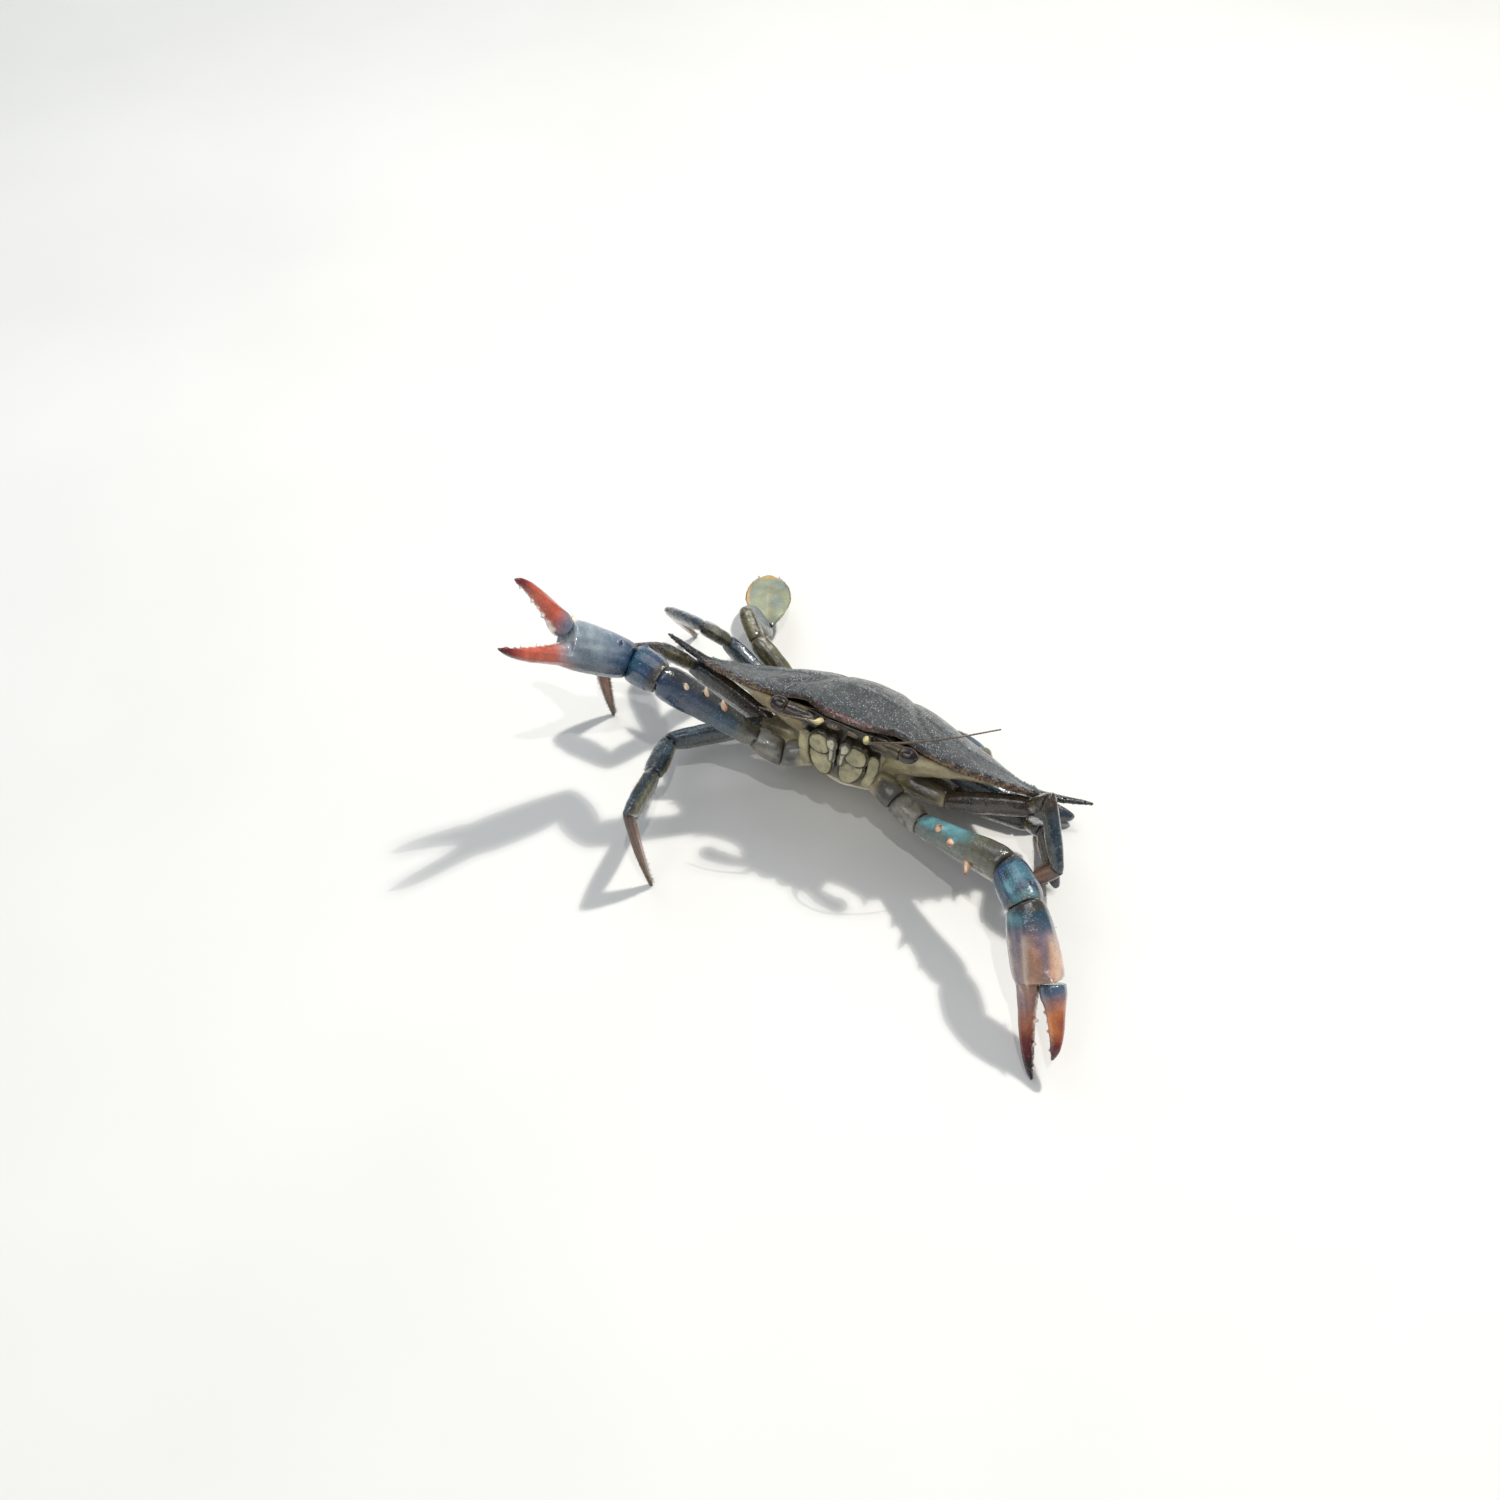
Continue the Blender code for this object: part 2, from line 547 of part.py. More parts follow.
def arm_blue():
    return painted("arm_blue", (0.02, 0.07, 0.16), 0.22)


def palm_grey_blue():
    return painted("palm_grey_blue", (0.16, 0.22, 0.3), 0.22)


def finger_red():
    return painted("finger_red", (0.5, 0.1, 0.05), 0.22)


def leg_dark_blue():
    return painted("leg_dark_blue", (0.03, 0.07, 0.11), 0.22)


def leg_tip_brown():
    return painted("leg_tip_brown", (0.25, 0.12, 0.05), 0.3)


def paddle_green():
    return painted("paddle_green", (0.13, 0.16, 0.1), 0.25)


def hip_grey():
    return painted("hip_grey", (0.42, 0.4, 0.36), 0.28)


def outward(points, faces):
    """The same faces, turned round if they enclose a negative volume."""
    volume = 0.0
    for face in faces:
        for k in range(1, len(face) - 1):
            volume += np.dot(points[face[0]], np.cross(points[face[k]], points[face[k + 1]]))
    return faces if volume > 0 else [tuple(reversed(face)) for face in faces]


def mesh_object(name, skin, collection):
    """An object holding one closed skin given in millimetres."""
    points, faces = skin
    mesh = bpy.data.meshes.new(name)
    mesh.from_pydata([tuple(point * MM) for point in points], [], outward(points, faces))
    made = bpy.data.objects.new(name, mesh)
    collection.objects.link(made)
    return made


def largest_surface(mesh):
    """Removes every closed surface of the mesh but the largest."""
    shape = bmesh.new()
    shape.from_mesh(mesh)
    left = set(shape.faces)
    surfaces = []
    while left:
        found, edge = set(), [left.pop()]
        while edge:
            face = edge.pop()
            found.add(face)
            for line in face.edges:
                for other in line.link_faces:
                    if other in left:
                        left.discard(other)
                        edge.append(other)
        surfaces.append(found)
    keep = max(surfaces, key=lambda found: sum(face.calc_area() for face in found))
    spare = [face for found in surfaces if found is not keep for face in found]
    bmesh.ops.delete(shape, geom=spare, context="FACES")
    shape.to_mesh(mesh)
    shape.free()


def combined(target, skins, operation, helpers):
    """Joins these skins to the object or cuts them from it, as one applied Boolean."""
    for number, skin in enumerate(skins):
        helper = mesh_object(f"helper_{number}", skin, helpers)
        helper.hide_render = True
        helper.display_type = "WIRE"
    if skins:
        step = target.modifiers.new("shape", "BOOLEAN")
        step.operation = operation
        step.operand_type = "COLLECTION"
        step.collection = helpers
        step.solver = "MANIFOLD"
    graph = bpy.context.evaluated_depsgraph_get()
    plain = target.data
    target.data = bpy.data.meshes.new_from_object(target.evaluated_get(graph))
    target.modifiers.clear()
    bpy.data.meshes.remove(plain)
    for helper in list(helpers.objects):
        bpy.data.objects.remove(helper, do_unlink=True)
    largest_surface(target.data)


class Model:
    """The crab's collection and its nodes, each placed by its location, rotation and parent."""

    def __init__(self):
        self.collection = bpy.data.collections.new("blue_crab")
        self.helpers = bpy.data.collections.new("helpers")
        bpy.context.scene.collection.children.link(self.collection)
        bpy.context.scene.collection.children.link(self.helpers)
        self.places = {}

    def add(self, name, skin, material, axes, origin, parent, joined=(), cut=(), halved=False):
        made = mesh_object(name, skin, self.collection)
        if halved:
            mirror = made.modifiers.new("other half", "MIRROR")
            mirror.merge_threshold = 0.0001
        combined(made, joined, "UNION", self.helpers)
        combined(made, cut, "DIFFERENCE", self.helpers)
        made.data.materials.clear()
        made.data.materials.append(material)
        made.data.shade_smooth()
        made.data.set_sharp_from_angle(angle=math.radians(SMOOTH_ANGLE))
        place = Matrix([[*axes[row], origin[row] * MM] for row in range(3)] + [[0, 0, 0, 1]])
        if parent:
            made.parent = bpy.data.objects[parent]
            made.matrix_local = self.places[parent].inverted() @ place
        else:
            made.matrix_local = place
        self.places[name] = place

    def add_to_body(self, name, skin, material, parent, joined=(), cut=(), halved=False):
        self.add(name, skin, material, BODY_AXES, BODY_PLACE, parent, joined, cut, halved)


def margin(table, x):
    """The margin's place on Y at this distance from the middle."""
    rows = np.asarray(table, float)
    return eased(rows, np.clip(np.abs(np.atleast_1d(x)), 0, rows[-1, 0]))[:, 0]


def rim_level(x, y, arched=1.0):
    """How far the rim plane is bent down at a place seen from above, with or without its arches."""
    x, y = np.abs(np.atleast_1d(np.asarray(x, float))), np.asarray(y, float)
    away = np.clip(y, 0, None) / REAR_MARGIN[0][1]
    front = np.clip(-y / np.abs(margin(FRONT_MARGIN, x)), 0, 1)
    round_side = np.clip((x - SIDE_DROP_AT) / (SHELL_HALF - SIDE_DROP_AT), 0, 1)
    side = SIDE_DROP * np.exp(-(((x - SIDE_DROP_AT) / SIDE_DROP_SPREAD) ** 2))
    corner = CORNER_DROP * np.clip((x - CORNER_DROP_FROM) / (SHELL_HALF - CORNER_DROP_FROM), 0, 1)
    arch = ORBIT_ARCH * np.exp(-(((x - ORBIT_ARCH_AT) / ORBIT_ARCH_SPREAD) ** 2)) * front**3
    dropped = (FRONT_DROP + side) * np.maximum(front, round_side)
    return arched * arch - SHELL_REAR_DROP * away - corner - dropped


def shell_height(x, y):
    """The height of the upper shell at a place seen from above."""
    x, y = np.asarray(x, float), np.asarray(y, float)
    front, rear = margin(FRONT_MARGIN, x), margin(REAR_MARGIN, x)
    share = (y - front) / (rear - front)
    side = (1 - np.clip(np.abs(x) / SHELL_HALF, 0, 1) ** 2) ** SHELL_SIDE_FALL
    before = 1 - np.clip((SHELL_HIGHEST - share) / SHELL_HIGHEST, 0, 1) ** SHELL_FRONT_FALL
    behind = 1 - np.clip((share - SHELL_HIGHEST) / (1 - SHELL_HIGHEST), 0, 1) ** SHELL_REAR_FALL
    dome = side * before * behind
    relief = 0.0
    for place_x, place_y, spread_x, spread_y, height in SHELL_RELIEF:
        away = ((np.abs(x) - place_x) / spread_x) ** 2 + ((y - place_y) / spread_y) ** 2
        relief = relief + height * np.exp(-away)
    relief = relief * np.clip(dome * 2.5, 0, 1)
    return RIM_TOP + rim_level(x, y) * (1 - 0.5 * dome) + SHELL_RISE * dome + relief


def shell_skin():
    """The left half of the domed shell over its rim, open at the middle."""
    turns = np.linspace(0, COLUMN_TURN, SHELL_COLUMNS) * math.pi
    across = SHELL_HALF * np.sin(turns) / math.sin(COLUMN_TURN * math.pi)
    shares = 0.5 - 0.5 * np.cos(np.linspace(ROW_TURN, math.pi - ROW_TURN, SHELL_ROWS))
    shares = (shares - shares[0]) / (shares[-1] - shares[0])
    under_shares = np.linspace(0, 1, 5)
    upper, lower = [], []
    for x in across:
        front, rear = margin(FRONT_MARGIN, x)[0], margin(REAR_MARGIN, x)[0]
        y = front + (rear - front) * shares
        upper += [(x, b, c) for b, c in zip(y, shell_height(np.full_like(y, x), y))]
        y = front + (rear - front) * under_shares
        lower += [(x, b, RIM_BOTTOM + c) for b, c in zip(y, rim_level(np.full_like(y, x), y))]
    rows, under_rows, under = SHELL_ROWS, len(under_shares), len(upper)
    faces = []
    for column in range(SHELL_COLUMNS - 1):
        here, there = column * rows, (column + 1) * rows
        low, high = under + column * under_rows, under + (column + 1) * under_rows
        for row in range(rows - 1):
            faces.append((here + row, there + row, there + row + 1, here + row + 1))
        for row in range(under_rows - 1):
            faces.append((low + row, low + row + 1, high + row + 1, high + row))
        faces.append((here, low, high, there))
        faces.append((here + rows - 1, there + rows - 1, high + under_rows - 1, low + under_rows - 1))
    last = (SHELL_COLUMNS - 1) * rows
    last_under = under + (SHELL_COLUMNS - 1) * under_rows
    end = [last + row for row in range(rows)]
    faces.append((*reversed(end), *(last_under + row for row in range(under_rows))))
    return np.array(upper + lower), faces


def spine_skin(side):
    """The long side spine, broad where it leaves the shell."""
    tip_x, tip_y = SPINE_TIP
    start = SPINE_RINGS[0][0]
    angle = np.arange(8) * math.pi / 4 + math.pi / 8
    rings = []
    for x, half, height, z in SPINE_RINGS:
        share = (x - start) / (tip_x - start)
        y = tip_y * share - SPINE_FORWARD * (1 - share)
        rings.append([(side * x, y + half * math.cos(a), z + height * math.sin(a)) for a in angle])
    return lofted(rings, None, np.array([side * tip_x, tip_y, SPINE_TIP_Z]))


def side_tooth_skin(side, tooth):
    x, y, outward_reach, forward_reach, half = tooth
    middle = RIM_MIDDLE + 0.1 + rim_level(x, y)[0]
    base = (side * (x - outward_reach * 0.5), y + forward_reach * 0.3, middle)
    tip = (side * (x + outward_reach), y - forward_reach, middle + TOOTH_RAISED)
    return cone_skin(base, tip, half, TOOTH_HALF_HEIGHT, (0, 0, 1))


def front_tooth_skin(side, tooth):
    x, y, reach, half = tooth
    middle = RIM_MIDDLE + 0.1 + rim_level(x, y)[0]
    base, tip = (side * x, y + 1.5, middle), (side * x, y - reach, middle + 0.4)
    return cone_skin(base, tip, half, TOOTH_HALF_HEIGHT, (0, 0, 1))


def add_shell(model):
    pieces = []
    for side in (-1, 1):
        pieces.append(spine_skin(side))
        pieces += [side_tooth_skin(side, tooth) for tooth in SIDE_TEETH]
        pieces += [front_tooth_skin(side, tooth) for tooth in FRONT_TEETH]
    model.add_to_body("carapace", shell_skin(), shell_slate(), None, pieces, halved=True)


def under_outline(angle):
    """How far the under body's upper edge lies from its centre at this angle."""
    low, high = 0.0, 90.0
    for _ in range(22):
        middle = (low + high) / 2
        reach = abs(middle * math.cos(angle)) + UNDER_INSET
        y = BELLY_CENTRE_Y + middle * math.sin(angle)
        inside = reach < SHELL_HALF
        if inside:
            front = margin(FRONT_MARGIN, reach)[0] + UNDER_INSET
            rear = margin(REAR_MARGIN, reach)[0] - UNDER_INSET
            inside = front < y < rear
        low, high = (middle, high) if inside else (low, middle)
    return low


def belly_lift(y):
    """How far the belly's tilt raises it at this place on Y."""
    return BELLY_TILT * np.clip(y - BELLY_TILT_FROM, 0, None)


def under_skin():
    angles = np.arange(UNDER_SIDES) * 2 * math.pi / UNDER_SIDES
    upper = np.array([under_outline(angle) for angle in angles])
    x_part = (np.abs(np.cos(angles)) / BELLY_HALF_X) ** BELLY_ROUNDNESS
    y_part = (np.abs(np.sin(angles)) / BELLY_HALF_Y) ** BELLY_ROUNDNESS
    lower = (x_part + y_part) ** (-1 / BELLY_ROUNDNESS)
    rings = []
    low, high = UNDER_FRONT
    front = np.clip((-np.sin(angles) - low) / (high - low), 0, 1)
    for z, mix_behind, mix_front, size in UNDER_LEVELS:
        mix = mix_behind * (1 - front) + mix_front * front
        reach = (upper * (1 - mix) + lower * mix) * size
        x = reach * np.cos(angles)
        y = BELLY_CENTRE_Y + reach * np.sin(angles)
        lift = np.clip((UNDER_TOP - z) / 12.0, 0, 1) * belly_lift(y)
        rings.append(np.stack([x, y, z + lift + rim_level(x, y, 0.0) * (1 - mix)], axis=1))
    return lofted(rings[::-1], None, np.array([0.0, BELLY_CENTRE_Y, UNDER_TOP - UNDER_DIP]))


def mouth_point(across, down, out):
    """A place given from the mouth plane: across, down its slope, and out of it."""
    slope = math.radians(MOUTH_SLOPE)
    y = MOUTH_Y + down * math.cos(slope) - out * math.sin(slope)
    z = MOUTH_Z - down * math.sin(slope) - out * math.cos(slope)
    return np.array([across, y, z])


def face_block_skin():
    """The block behind the mouth plates."""
    rings = []
    for down, half, deep in FACE_BLOCK:
        front = [(-half, -1.4), (-half * 0.8, -JOINT_GAP), (half * 0.8, -JOINT_GAP), (half, -1.4)]
        ring = []
        for across, out in (*front, (half * 0.9, -deep), (-half * 0.9, -deep)):
            point = mouth_point(across, down, out)
            point[2] = min(point[2], UNDER_TOP - FRONT_DROP - 0.05)
            ring.append(point)
        rings.append(ring)
    return lofted(rings)


def orbit_skin(sign):
    """The hollow that the eye stalk lies in."""
    inner, neck, outer = (on_side(sign, place) for place in (EYE_INNER, EYE_NECK, EYE_OUTER))
    start = inner - unit(neck - inner) * JOINT_GAP
    return tube_skin((start, (start + neck) / 2, neck, outer + (outer - neck)), ORBIT_RADII, 3)


def hip_way(name):
    """The way from the start of a leg's fused first link to its hip joint, in the model's axes."""
    side, number = name.split("_")
    start = on_side(-1 if side == "right" else 1, HIP_STARTS[number])
    return BODY_AXES @ unit(np.asarray(HIPS[name]) - start)


def hip_skin(name):
    """The first leg link, fused to the under body and cut off by the plane of the hip joint."""
    side, number = name.split("_")
    start = on_side(-1 if side == "right" else 1, HIP_STARTS[number])
    along = np.asarray(HIPS[name]) - start
    axes = link_axes(along, (0, 0, 1))
    first = direction(*LEG_LINKS[name][0][1:])
    end_face = axes.T @ (BODY_AXES.T @ unit(hip_way(name) + first))
    return placed(link_skin(np.linalg.norm(along), HIP, 5, 8, (1, 0, 0), end_face), axes, start)


def claw_hip_skin(side, sign):
    """The claw's first link, fused to the under body."""
    start, end = on_side(sign, CLAW_HIP_START), on_side(sign, CLAW_HIP)
    axes = link_axes(end - start, (0, 0, 1))
    onward = axes.T @ unit(on_side(sign, CLAW_ELBOW[side]) - end)
    face = unit(np.array([1.0, 0, 0]) + onward)
    length = np.linalg.norm(end - start)
    return placed(link_skin(length, CLAW_HIP_SHAPE, 4, 10, (1, 0, 0), face), axes, start)


def add_under_body(model):
    joined = [face_block_skin()] + [hip_skin(name) for name in HIPS]
    cut = [box_skin(*MOUTH_HOLLOW, mouth_point)]
    for side, sign in (("right", -1), ("left", 1)):
        joined.append(claw_hip_skin(side, sign))
        cut.append(orbit_skin(sign))
    model.add_to_body("under_body", under_skin(), under_cream(), "carapace", joined, cut)


def apron_skin():
    """The broad rounded tail plate folded under the body."""
    across = np.linspace(-1, 1, 9)
    rings = []
    for share in np.linspace(0, 1, 9):
        y = APRON_REAR - APRON_LENGTH * share
        half = APRON_HALF * math.sqrt(max(1 - ((share - 0.36) / 0.66) ** 2, 0.03))
        top = APRON_TOP + belly_lift(y)
        wave = APRON_WAVE * math.cos(share * APRON_WAVES)
        bulge = APRON_THICKNESS * np.sqrt(1 - 0.8 * across**2) + wave
        lower = [(half * a, y, top - b) for a, b in zip(across, bulge)]
        rings.append(lower + [(half * a, y, top) for a in across[::-1]])
    return lofted(rings)


def add_apron(model):
    model.add_to_body("apron", apron_skin(), apron_cream(), "under_body")


def add_mouth_plates(model, side, sign):
    """The inner mouth plate of one side: its long lower part, its upper part and its palp."""

    def turned(outline):
        return [(sign * across, down) for across, down in outline]

    joined = [plate_skin(turned(MOUTH_MERUS), 0.35, 2.2), plate_skin(turned(MOUTH_PALP), 0.4, 2.6)]
    plate = plate_skin(turned(MOUTH_ISCHIUM), JOINT_GAP, 1.8)
    model.add_to_body(f"mouth_plate_{side}", plate, mouth_olive(), "under_body", joined)


def add_mouth_bar(model, side, sign):
    """The slender outer bar beside the mouth plate."""
    outline = [(sign * across, down) for across, down in MOUTH_BAR]
    plate = plate_skin(outline, JOINT_GAP, 1.5)
    model.add_to_body(f"mouth_bar_{side}", plate, mouth_olive(), "under_body")


def add_eye_stalk(model, side, sign):
    inner, neck = on_side(sign, EYE_INNER), on_side(sign, EYE_NECK)
    axes = link_axes(neck - inner, (0, 0, 1))
    skin = link_skin(np.linalg.norm(neck - inner), EYE_STALK, 6, 10, (1, 0, 0), (1, 0, 0), 2.0)
    model.add_to_body(f"eye_stalk_{side}", placed(skin, axes, inner), stalk_green(), "under_body")


def add_eye(model, side, sign):
    neck, outer = on_side(sign, EYE_NECK), on_side(sign, EYE_OUTER)
    inner = on_side(sign, EYE_INNER)
    axes = link_axes(outer - neck, (0, 0, 1))
    start_face = axes.T @ unit(neck - inner)
    skin = link_skin(np.linalg.norm(outer - neck), EYE, 8, 12, start_face, (1, 0, 0), 2.0)
    model.add_to_body(f"eye_{side}", placed(skin, axes, neck), eye_brown(), f"eye_stalk_{side}")


def add_antenna(model, side):
    path = np.array(ANTENNA_PATHS[side])
    shares = np.linspace(0, 1, ANTENNA_POINTS)
    smooth = eased(np.column_stack([np.linspace(0, 1, len(path)), path]), shares)
    radii = np.interp(shares, *np.transpose(ANTENNA_RADII))
    model.add_to_body(f"antenna_{side}", tube_skin(smooth, radii), antenna_brown(), "under_body")


def add_antennule(model, side, sign):
    """The short feeler folded across the front, over the mouth plates."""
    path = [mouth_point(sign * across, down, out) for across, down, out in ANTENNULE_PATH]
    skin = tube_skin(path, ANTENNULE_RADII)
    model.add_to_body(f"antennule_{side}", skin, antenna_brown(), "under_body")


def chain(start, links):
    """Joint places and unit ways of a limb. A link with no rise ends just under the floor."""
    place = np.asarray(start, float)
    places, ways = [place], []
    for length, bearing, rise in links:
        if rise is None:
            rise = -math.degrees(math.asin(min((place[2] + FOOT_DEPTH) / length, 1.0)))
        way = direction(bearing, rise)
        place = place + way * length
        places.append(place)
        ways.append(way)
    return places, ways


def bend_top(before, way, after):
    """The outer side of the bend at a joint, which is the top of a leg link."""
    outer = before - (before @ way) * way
    if np.linalg.norm(outer) < 0.2 and after is not None:
        outer = -(after - (after @ way) * way)
    return outer if np.linalg.norm(outer) >= 0.2 else np.array([0.0, 0.0, 1.0])


def joint_faces(axes, before, way, after):
    """The planes a link starts and ends on, each halving the angle at its joint."""
    end = unit(way + after) if after is not None else way
    return axes.T @ unit(before + way), axes.T @ end


def walking_parts():
    """Name, shape, material, rings and sides of each link of a walking leg."""
    return (
        ("merus", WALKING_MERUS, leg_dark_blue(), 9, 8),
        ("carpus", WALKING_CARPUS, leg_dark_blue(), 8, 8),
        ("propodus", WALKING_PROPODUS, leg_dark_blue(), 8, 8),
        ("dactyl", WALKING_DACTYL, leg_tip_brown(), 10, 8),
    )


def swimming_parts():
    """Name, shape, material, rings and sides of each link of a swimming leg."""
    return (
        ("merus", SWIM_MERUS, leg_dark_blue(), 8, 8),
        ("carpus", SWIM_CARPUS, leg_dark_blue(), 8, 8),
        ("propodus", SWIM_PROPODUS, leg_dark_blue(), 8, 12),
        ("paddle", PADDLE, paddle_green(), 13, 12),
    )


def floor_cut(start, tip, axes):
    """A slab under the floor around a leg's tip, in the last link's own axes."""
    return box_skin(
        (-9.0, -9.0, -9.0), (9.0, 9.0, 0.0),
        lambda x, y, z: axes.T @ (np.array([tip[0] + x, tip[1] + y, z]) - start),
    )


def add_leg(model, name):
    """One leg, link by link. A flat link of a swimming leg faces up."""
    places, ways = chain(in_world(HIPS[name]), LEG_LINKS[name])
    swims = name.endswith("5")
    before, parent = hip_way(name), "under_body"
    parts = swimming_parts() if swims else walking_parts()
    for k, (part, shape, material, rings, sides) in enumerate(parts):
        after = ways[k + 1] if k + 1 < len(ways) else None
        faces_up = k == 0 or (swims and k > 1)
        top = (0.0, 0.0, 1.0) if faces_up else bend_top(before, ways[k], after)
        if part == "propodus":
            top = PROPODUS_FACING.get(name, top)
        axes = link_axes(ways[k], top)
        faces = joint_faces(axes, before, ways[k], after)
        skin = link_skin(LEG_LINKS[name][k][0], shape, rings, sides, *faces)
        cut = [floor_cut(places[k], places[k + 1], axes)] if part == "dactyl" else ()
        model.add(f"leg_{name}_{part}", skin, material, axes, places[k], parent, (), cut)
        parent, before = f"leg_{name}_{part}", ways[k]


def arm_thorns(side, length, axes):
    """Three thorns along the front edge of the claw's arm."""
    thorns = []
    for share, reach, way in ARM_THORNS[side]:
        toward = axes.T @ np.array(way)
        toward = unit(np.array([0.0, toward[1], toward[2]]))
        base = np.array([length * share, 0, 0]) + toward * ARM_THORN_BASE
        tip = np.array([length * (share + ARM_THORN_LEAN), 0, 0]) + toward * (ARM_THORN_RISE + reach)
        thorns.append(cone_skin(base, tip, *ARM_THORN_SIZE, (1, 0, 0)))
    return thorns


def lone_thorn(length, thorn, way=(1.0, 1.0)):
    """One thorn of a claw's link, its reach across and up scaled by the way."""
    places = [(length * share, across * way[0], up * way[1]) for share, across, up in thorn[:2]]
    return cone_skin(*places, *thorn[2], (1, 0, 0))


def finger_teeth(length, shape, sign):
    """Blunt teeth along a finger's biting edge, larger and smaller by turns."""
    teeth = []
    for k, share in enumerate(np.linspace(FINGER_TEETH_FROM, FINGER_TEETH_TO, FINGER_TEETH)):
        height, _, lift = eased(shape, [share])[0]
        edge = lift + sign * height * TOOTH_SEAT
        tapered = min(1.15 - 0.5 * share, 0.3 + 2.2 * share)
        size = FINGER_TOOTH * (1.0 if k % 2 == 0 else SMALL_TOOTH) * tapered
        base = (length * share, 0, edge - sign * TOOTH_ROOT)
        tip = (length * share, 0, edge + sign * size * 1.1)
        teeth.append(cone_skin(base, tip, size * 0.95, size * 0.8, (1, 0, 0), 5, BLUNT))
    return teeth


def add_claw_base(model, side, hip, way, onward):
    sign = -1 if side == "right" else 1
    axes = link_axes(way, (0, 0, 1))
    hip_start = in_world(on_side(sign, CLAW_HIP_START))
    length = np.linalg.norm(in_world(on_side(sign, CLAW_ELBOW[side])) - hip)
    skin = link_skin(length, CLAW_BASE, 6, 12, *joint_faces(axes, unit(hip - hip_start), way, onward))
    model.add(f"claw_{side}_base", skin, hip_grey(), axes, hip, "under_body")


def add_claw_arm(model, side, place, before, ways):
    length = CLAW_LINKS[side][0][0]
    axes = link_axes(ways[0], (0, 0, 1))
    skin = link_skin(length, CLAW_MERUS, 12, 12, *joint_faces(axes, before, ways[0], ways[1]))
    thorns = arm_thorns(side, length, axes)
    model.add(f"claw_{side}_merus", skin, arm_blue(), axes, place, f"claw_{side}_base", thorns)


def add_claw_wrist(model, side, place, ways):
    length = CLAW_LINKS[side][1][0]
    axes = link_axes(ways[1], CLAW_TOP[side])
    skin = link_skin(length, CLAW_CARPUS, 9, 12, *joint_faces(axes, ways[0], ways[1], ways[2]))
    thorns = [lone_thorn(length, WRIST_THORN, THORN_WAY[side])]
    model.add(f"claw_{side}_carpus", skin, arm_blue(), axes, place, f"claw_{side}_merus", thorns)


def add_claw_palm(model, side, place, ways):
    """The palm with its fixed finger, the finger's teeth, and a thorn over the hinge."""
    palm, finger = CLAW_LINKS[side][2][0], CLAW_LINKS[side][3][0]
    axes, finger_axes = link_axes(ways[2], CLAW_TOP[side]), link_axes(ways[3], CLAW_TOP[side])
    start_face, _ = joint_faces(axes, ways[1], ways[2], None)
    skin = link_skin(palm, PALM, 11, 14, start_face, (1, 0, 0))
    # The finger starts below the palm's middle and is sheared up, so that its tip keeps its place.
    shear = np.array([[1, 0, 0], [0, 1, 0], [FIXED_FINGER_DROP / finger, 0, 1]])
    way = axes.T @ finger_axes @ shear
    root = np.array([palm, 0.0, -FIXED_FINGER_DROP])
    joined = [link_skin(finger, FIXED_FINGER, 12, 10, (1, 0, 0), (1, 0, 0))]
    joined += finger_teeth(finger, FIXED_FINGER, 1)
    joined = [placed(piece, way, root) for piece in joined]
    joined += [lone_thorn(palm, HINGE_THORN, THORN_WAY[side]), lone_thorn(palm, PALM_THORN)]
    step = box_skin((palm, -12.0, PALM_STEP_LEVEL), (palm + 8.0, 12.0, 8.6), lambda *at: np.array(at))
    material, parent = palm_grey_blue(), f"claw_{side}_carpus"
    model.add(f"claw_{side}_palm", skin, material, axes, place, parent, joined, [step])


def add_claw_finger(model, side, palm_end, ways):
    """The moving finger, cut flat where it meets the palm."""
    palm_axes = link_axes(ways[2], CLAW_TOP[side])
    length, bearing, rise = MOVING_FINGER_TIP[side]
    hinge = palm_end + palm_axes @ np.array([MOVING_FINGER_AHEAD, 0.0, MOVING_FINGER_RISE])
    reach = palm_end + direction(bearing, rise) * length - hinge
    axes = link_axes(reach, CLAW_TOP[side])
    length = np.linalg.norm(reach)
    skin = link_skin(length, MOVING_FINGER, 13, 10, (1, 0, 0), (1, 0, 0))
    palm_side = box_skin(
        (-12.0, -12.0, -14.0), (JOINT_GAP, 12.0, 14.0),
        lambda *corner: axes.T @ (palm_end + palm_axes @ np.array(corner) - hinge),
    )
    teeth, parent = finger_teeth(length, MOVING_FINGER, -1), f"claw_{side}_palm"
    model.add(f"claw_{side}_finger", skin, finger_red(), axes, hinge, parent, teeth, [palm_side])


def add_claw(model, side, sign):
    hip, elbow = in_world(on_side(sign, CLAW_HIP)), in_world(on_side(sign, CLAW_ELBOW[side]))
    places, ways = chain(elbow, CLAW_LINKS[side])
    first = unit(elbow - hip)
    add_claw_base(model, side, hip, first, ways[0])
    add_claw_arm(model, side, places[0], first, ways)
    add_claw_wrist(model, side, places[1], ways)
    add_claw_palm(model, side, places[2], ways)
    add_claw_finger(model, side, places[3], ways)


def build():
    clear_scene()
    model = Model()
    add_shell(model)
    add_under_body(model)
    add_apron(model)
    for side, sign in (("right", -1), ("left", 1)):
        add_mouth_plates(model, side, sign)
        add_mouth_bar(model, side, sign)
        add_eye_stalk(model, side, sign)
        add_eye(model, side, sign)
        add_antenna(model, side)
        add_antennule(model, side, sign)
        add_claw(model, side, sign)
    for name in HIPS:
        add_leg(model, name)
    bpy.data.collections.remove(model.helpers)


build()
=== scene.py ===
import math

import bmesh
import bpy
import numpy as np
from mathutils import Matrix


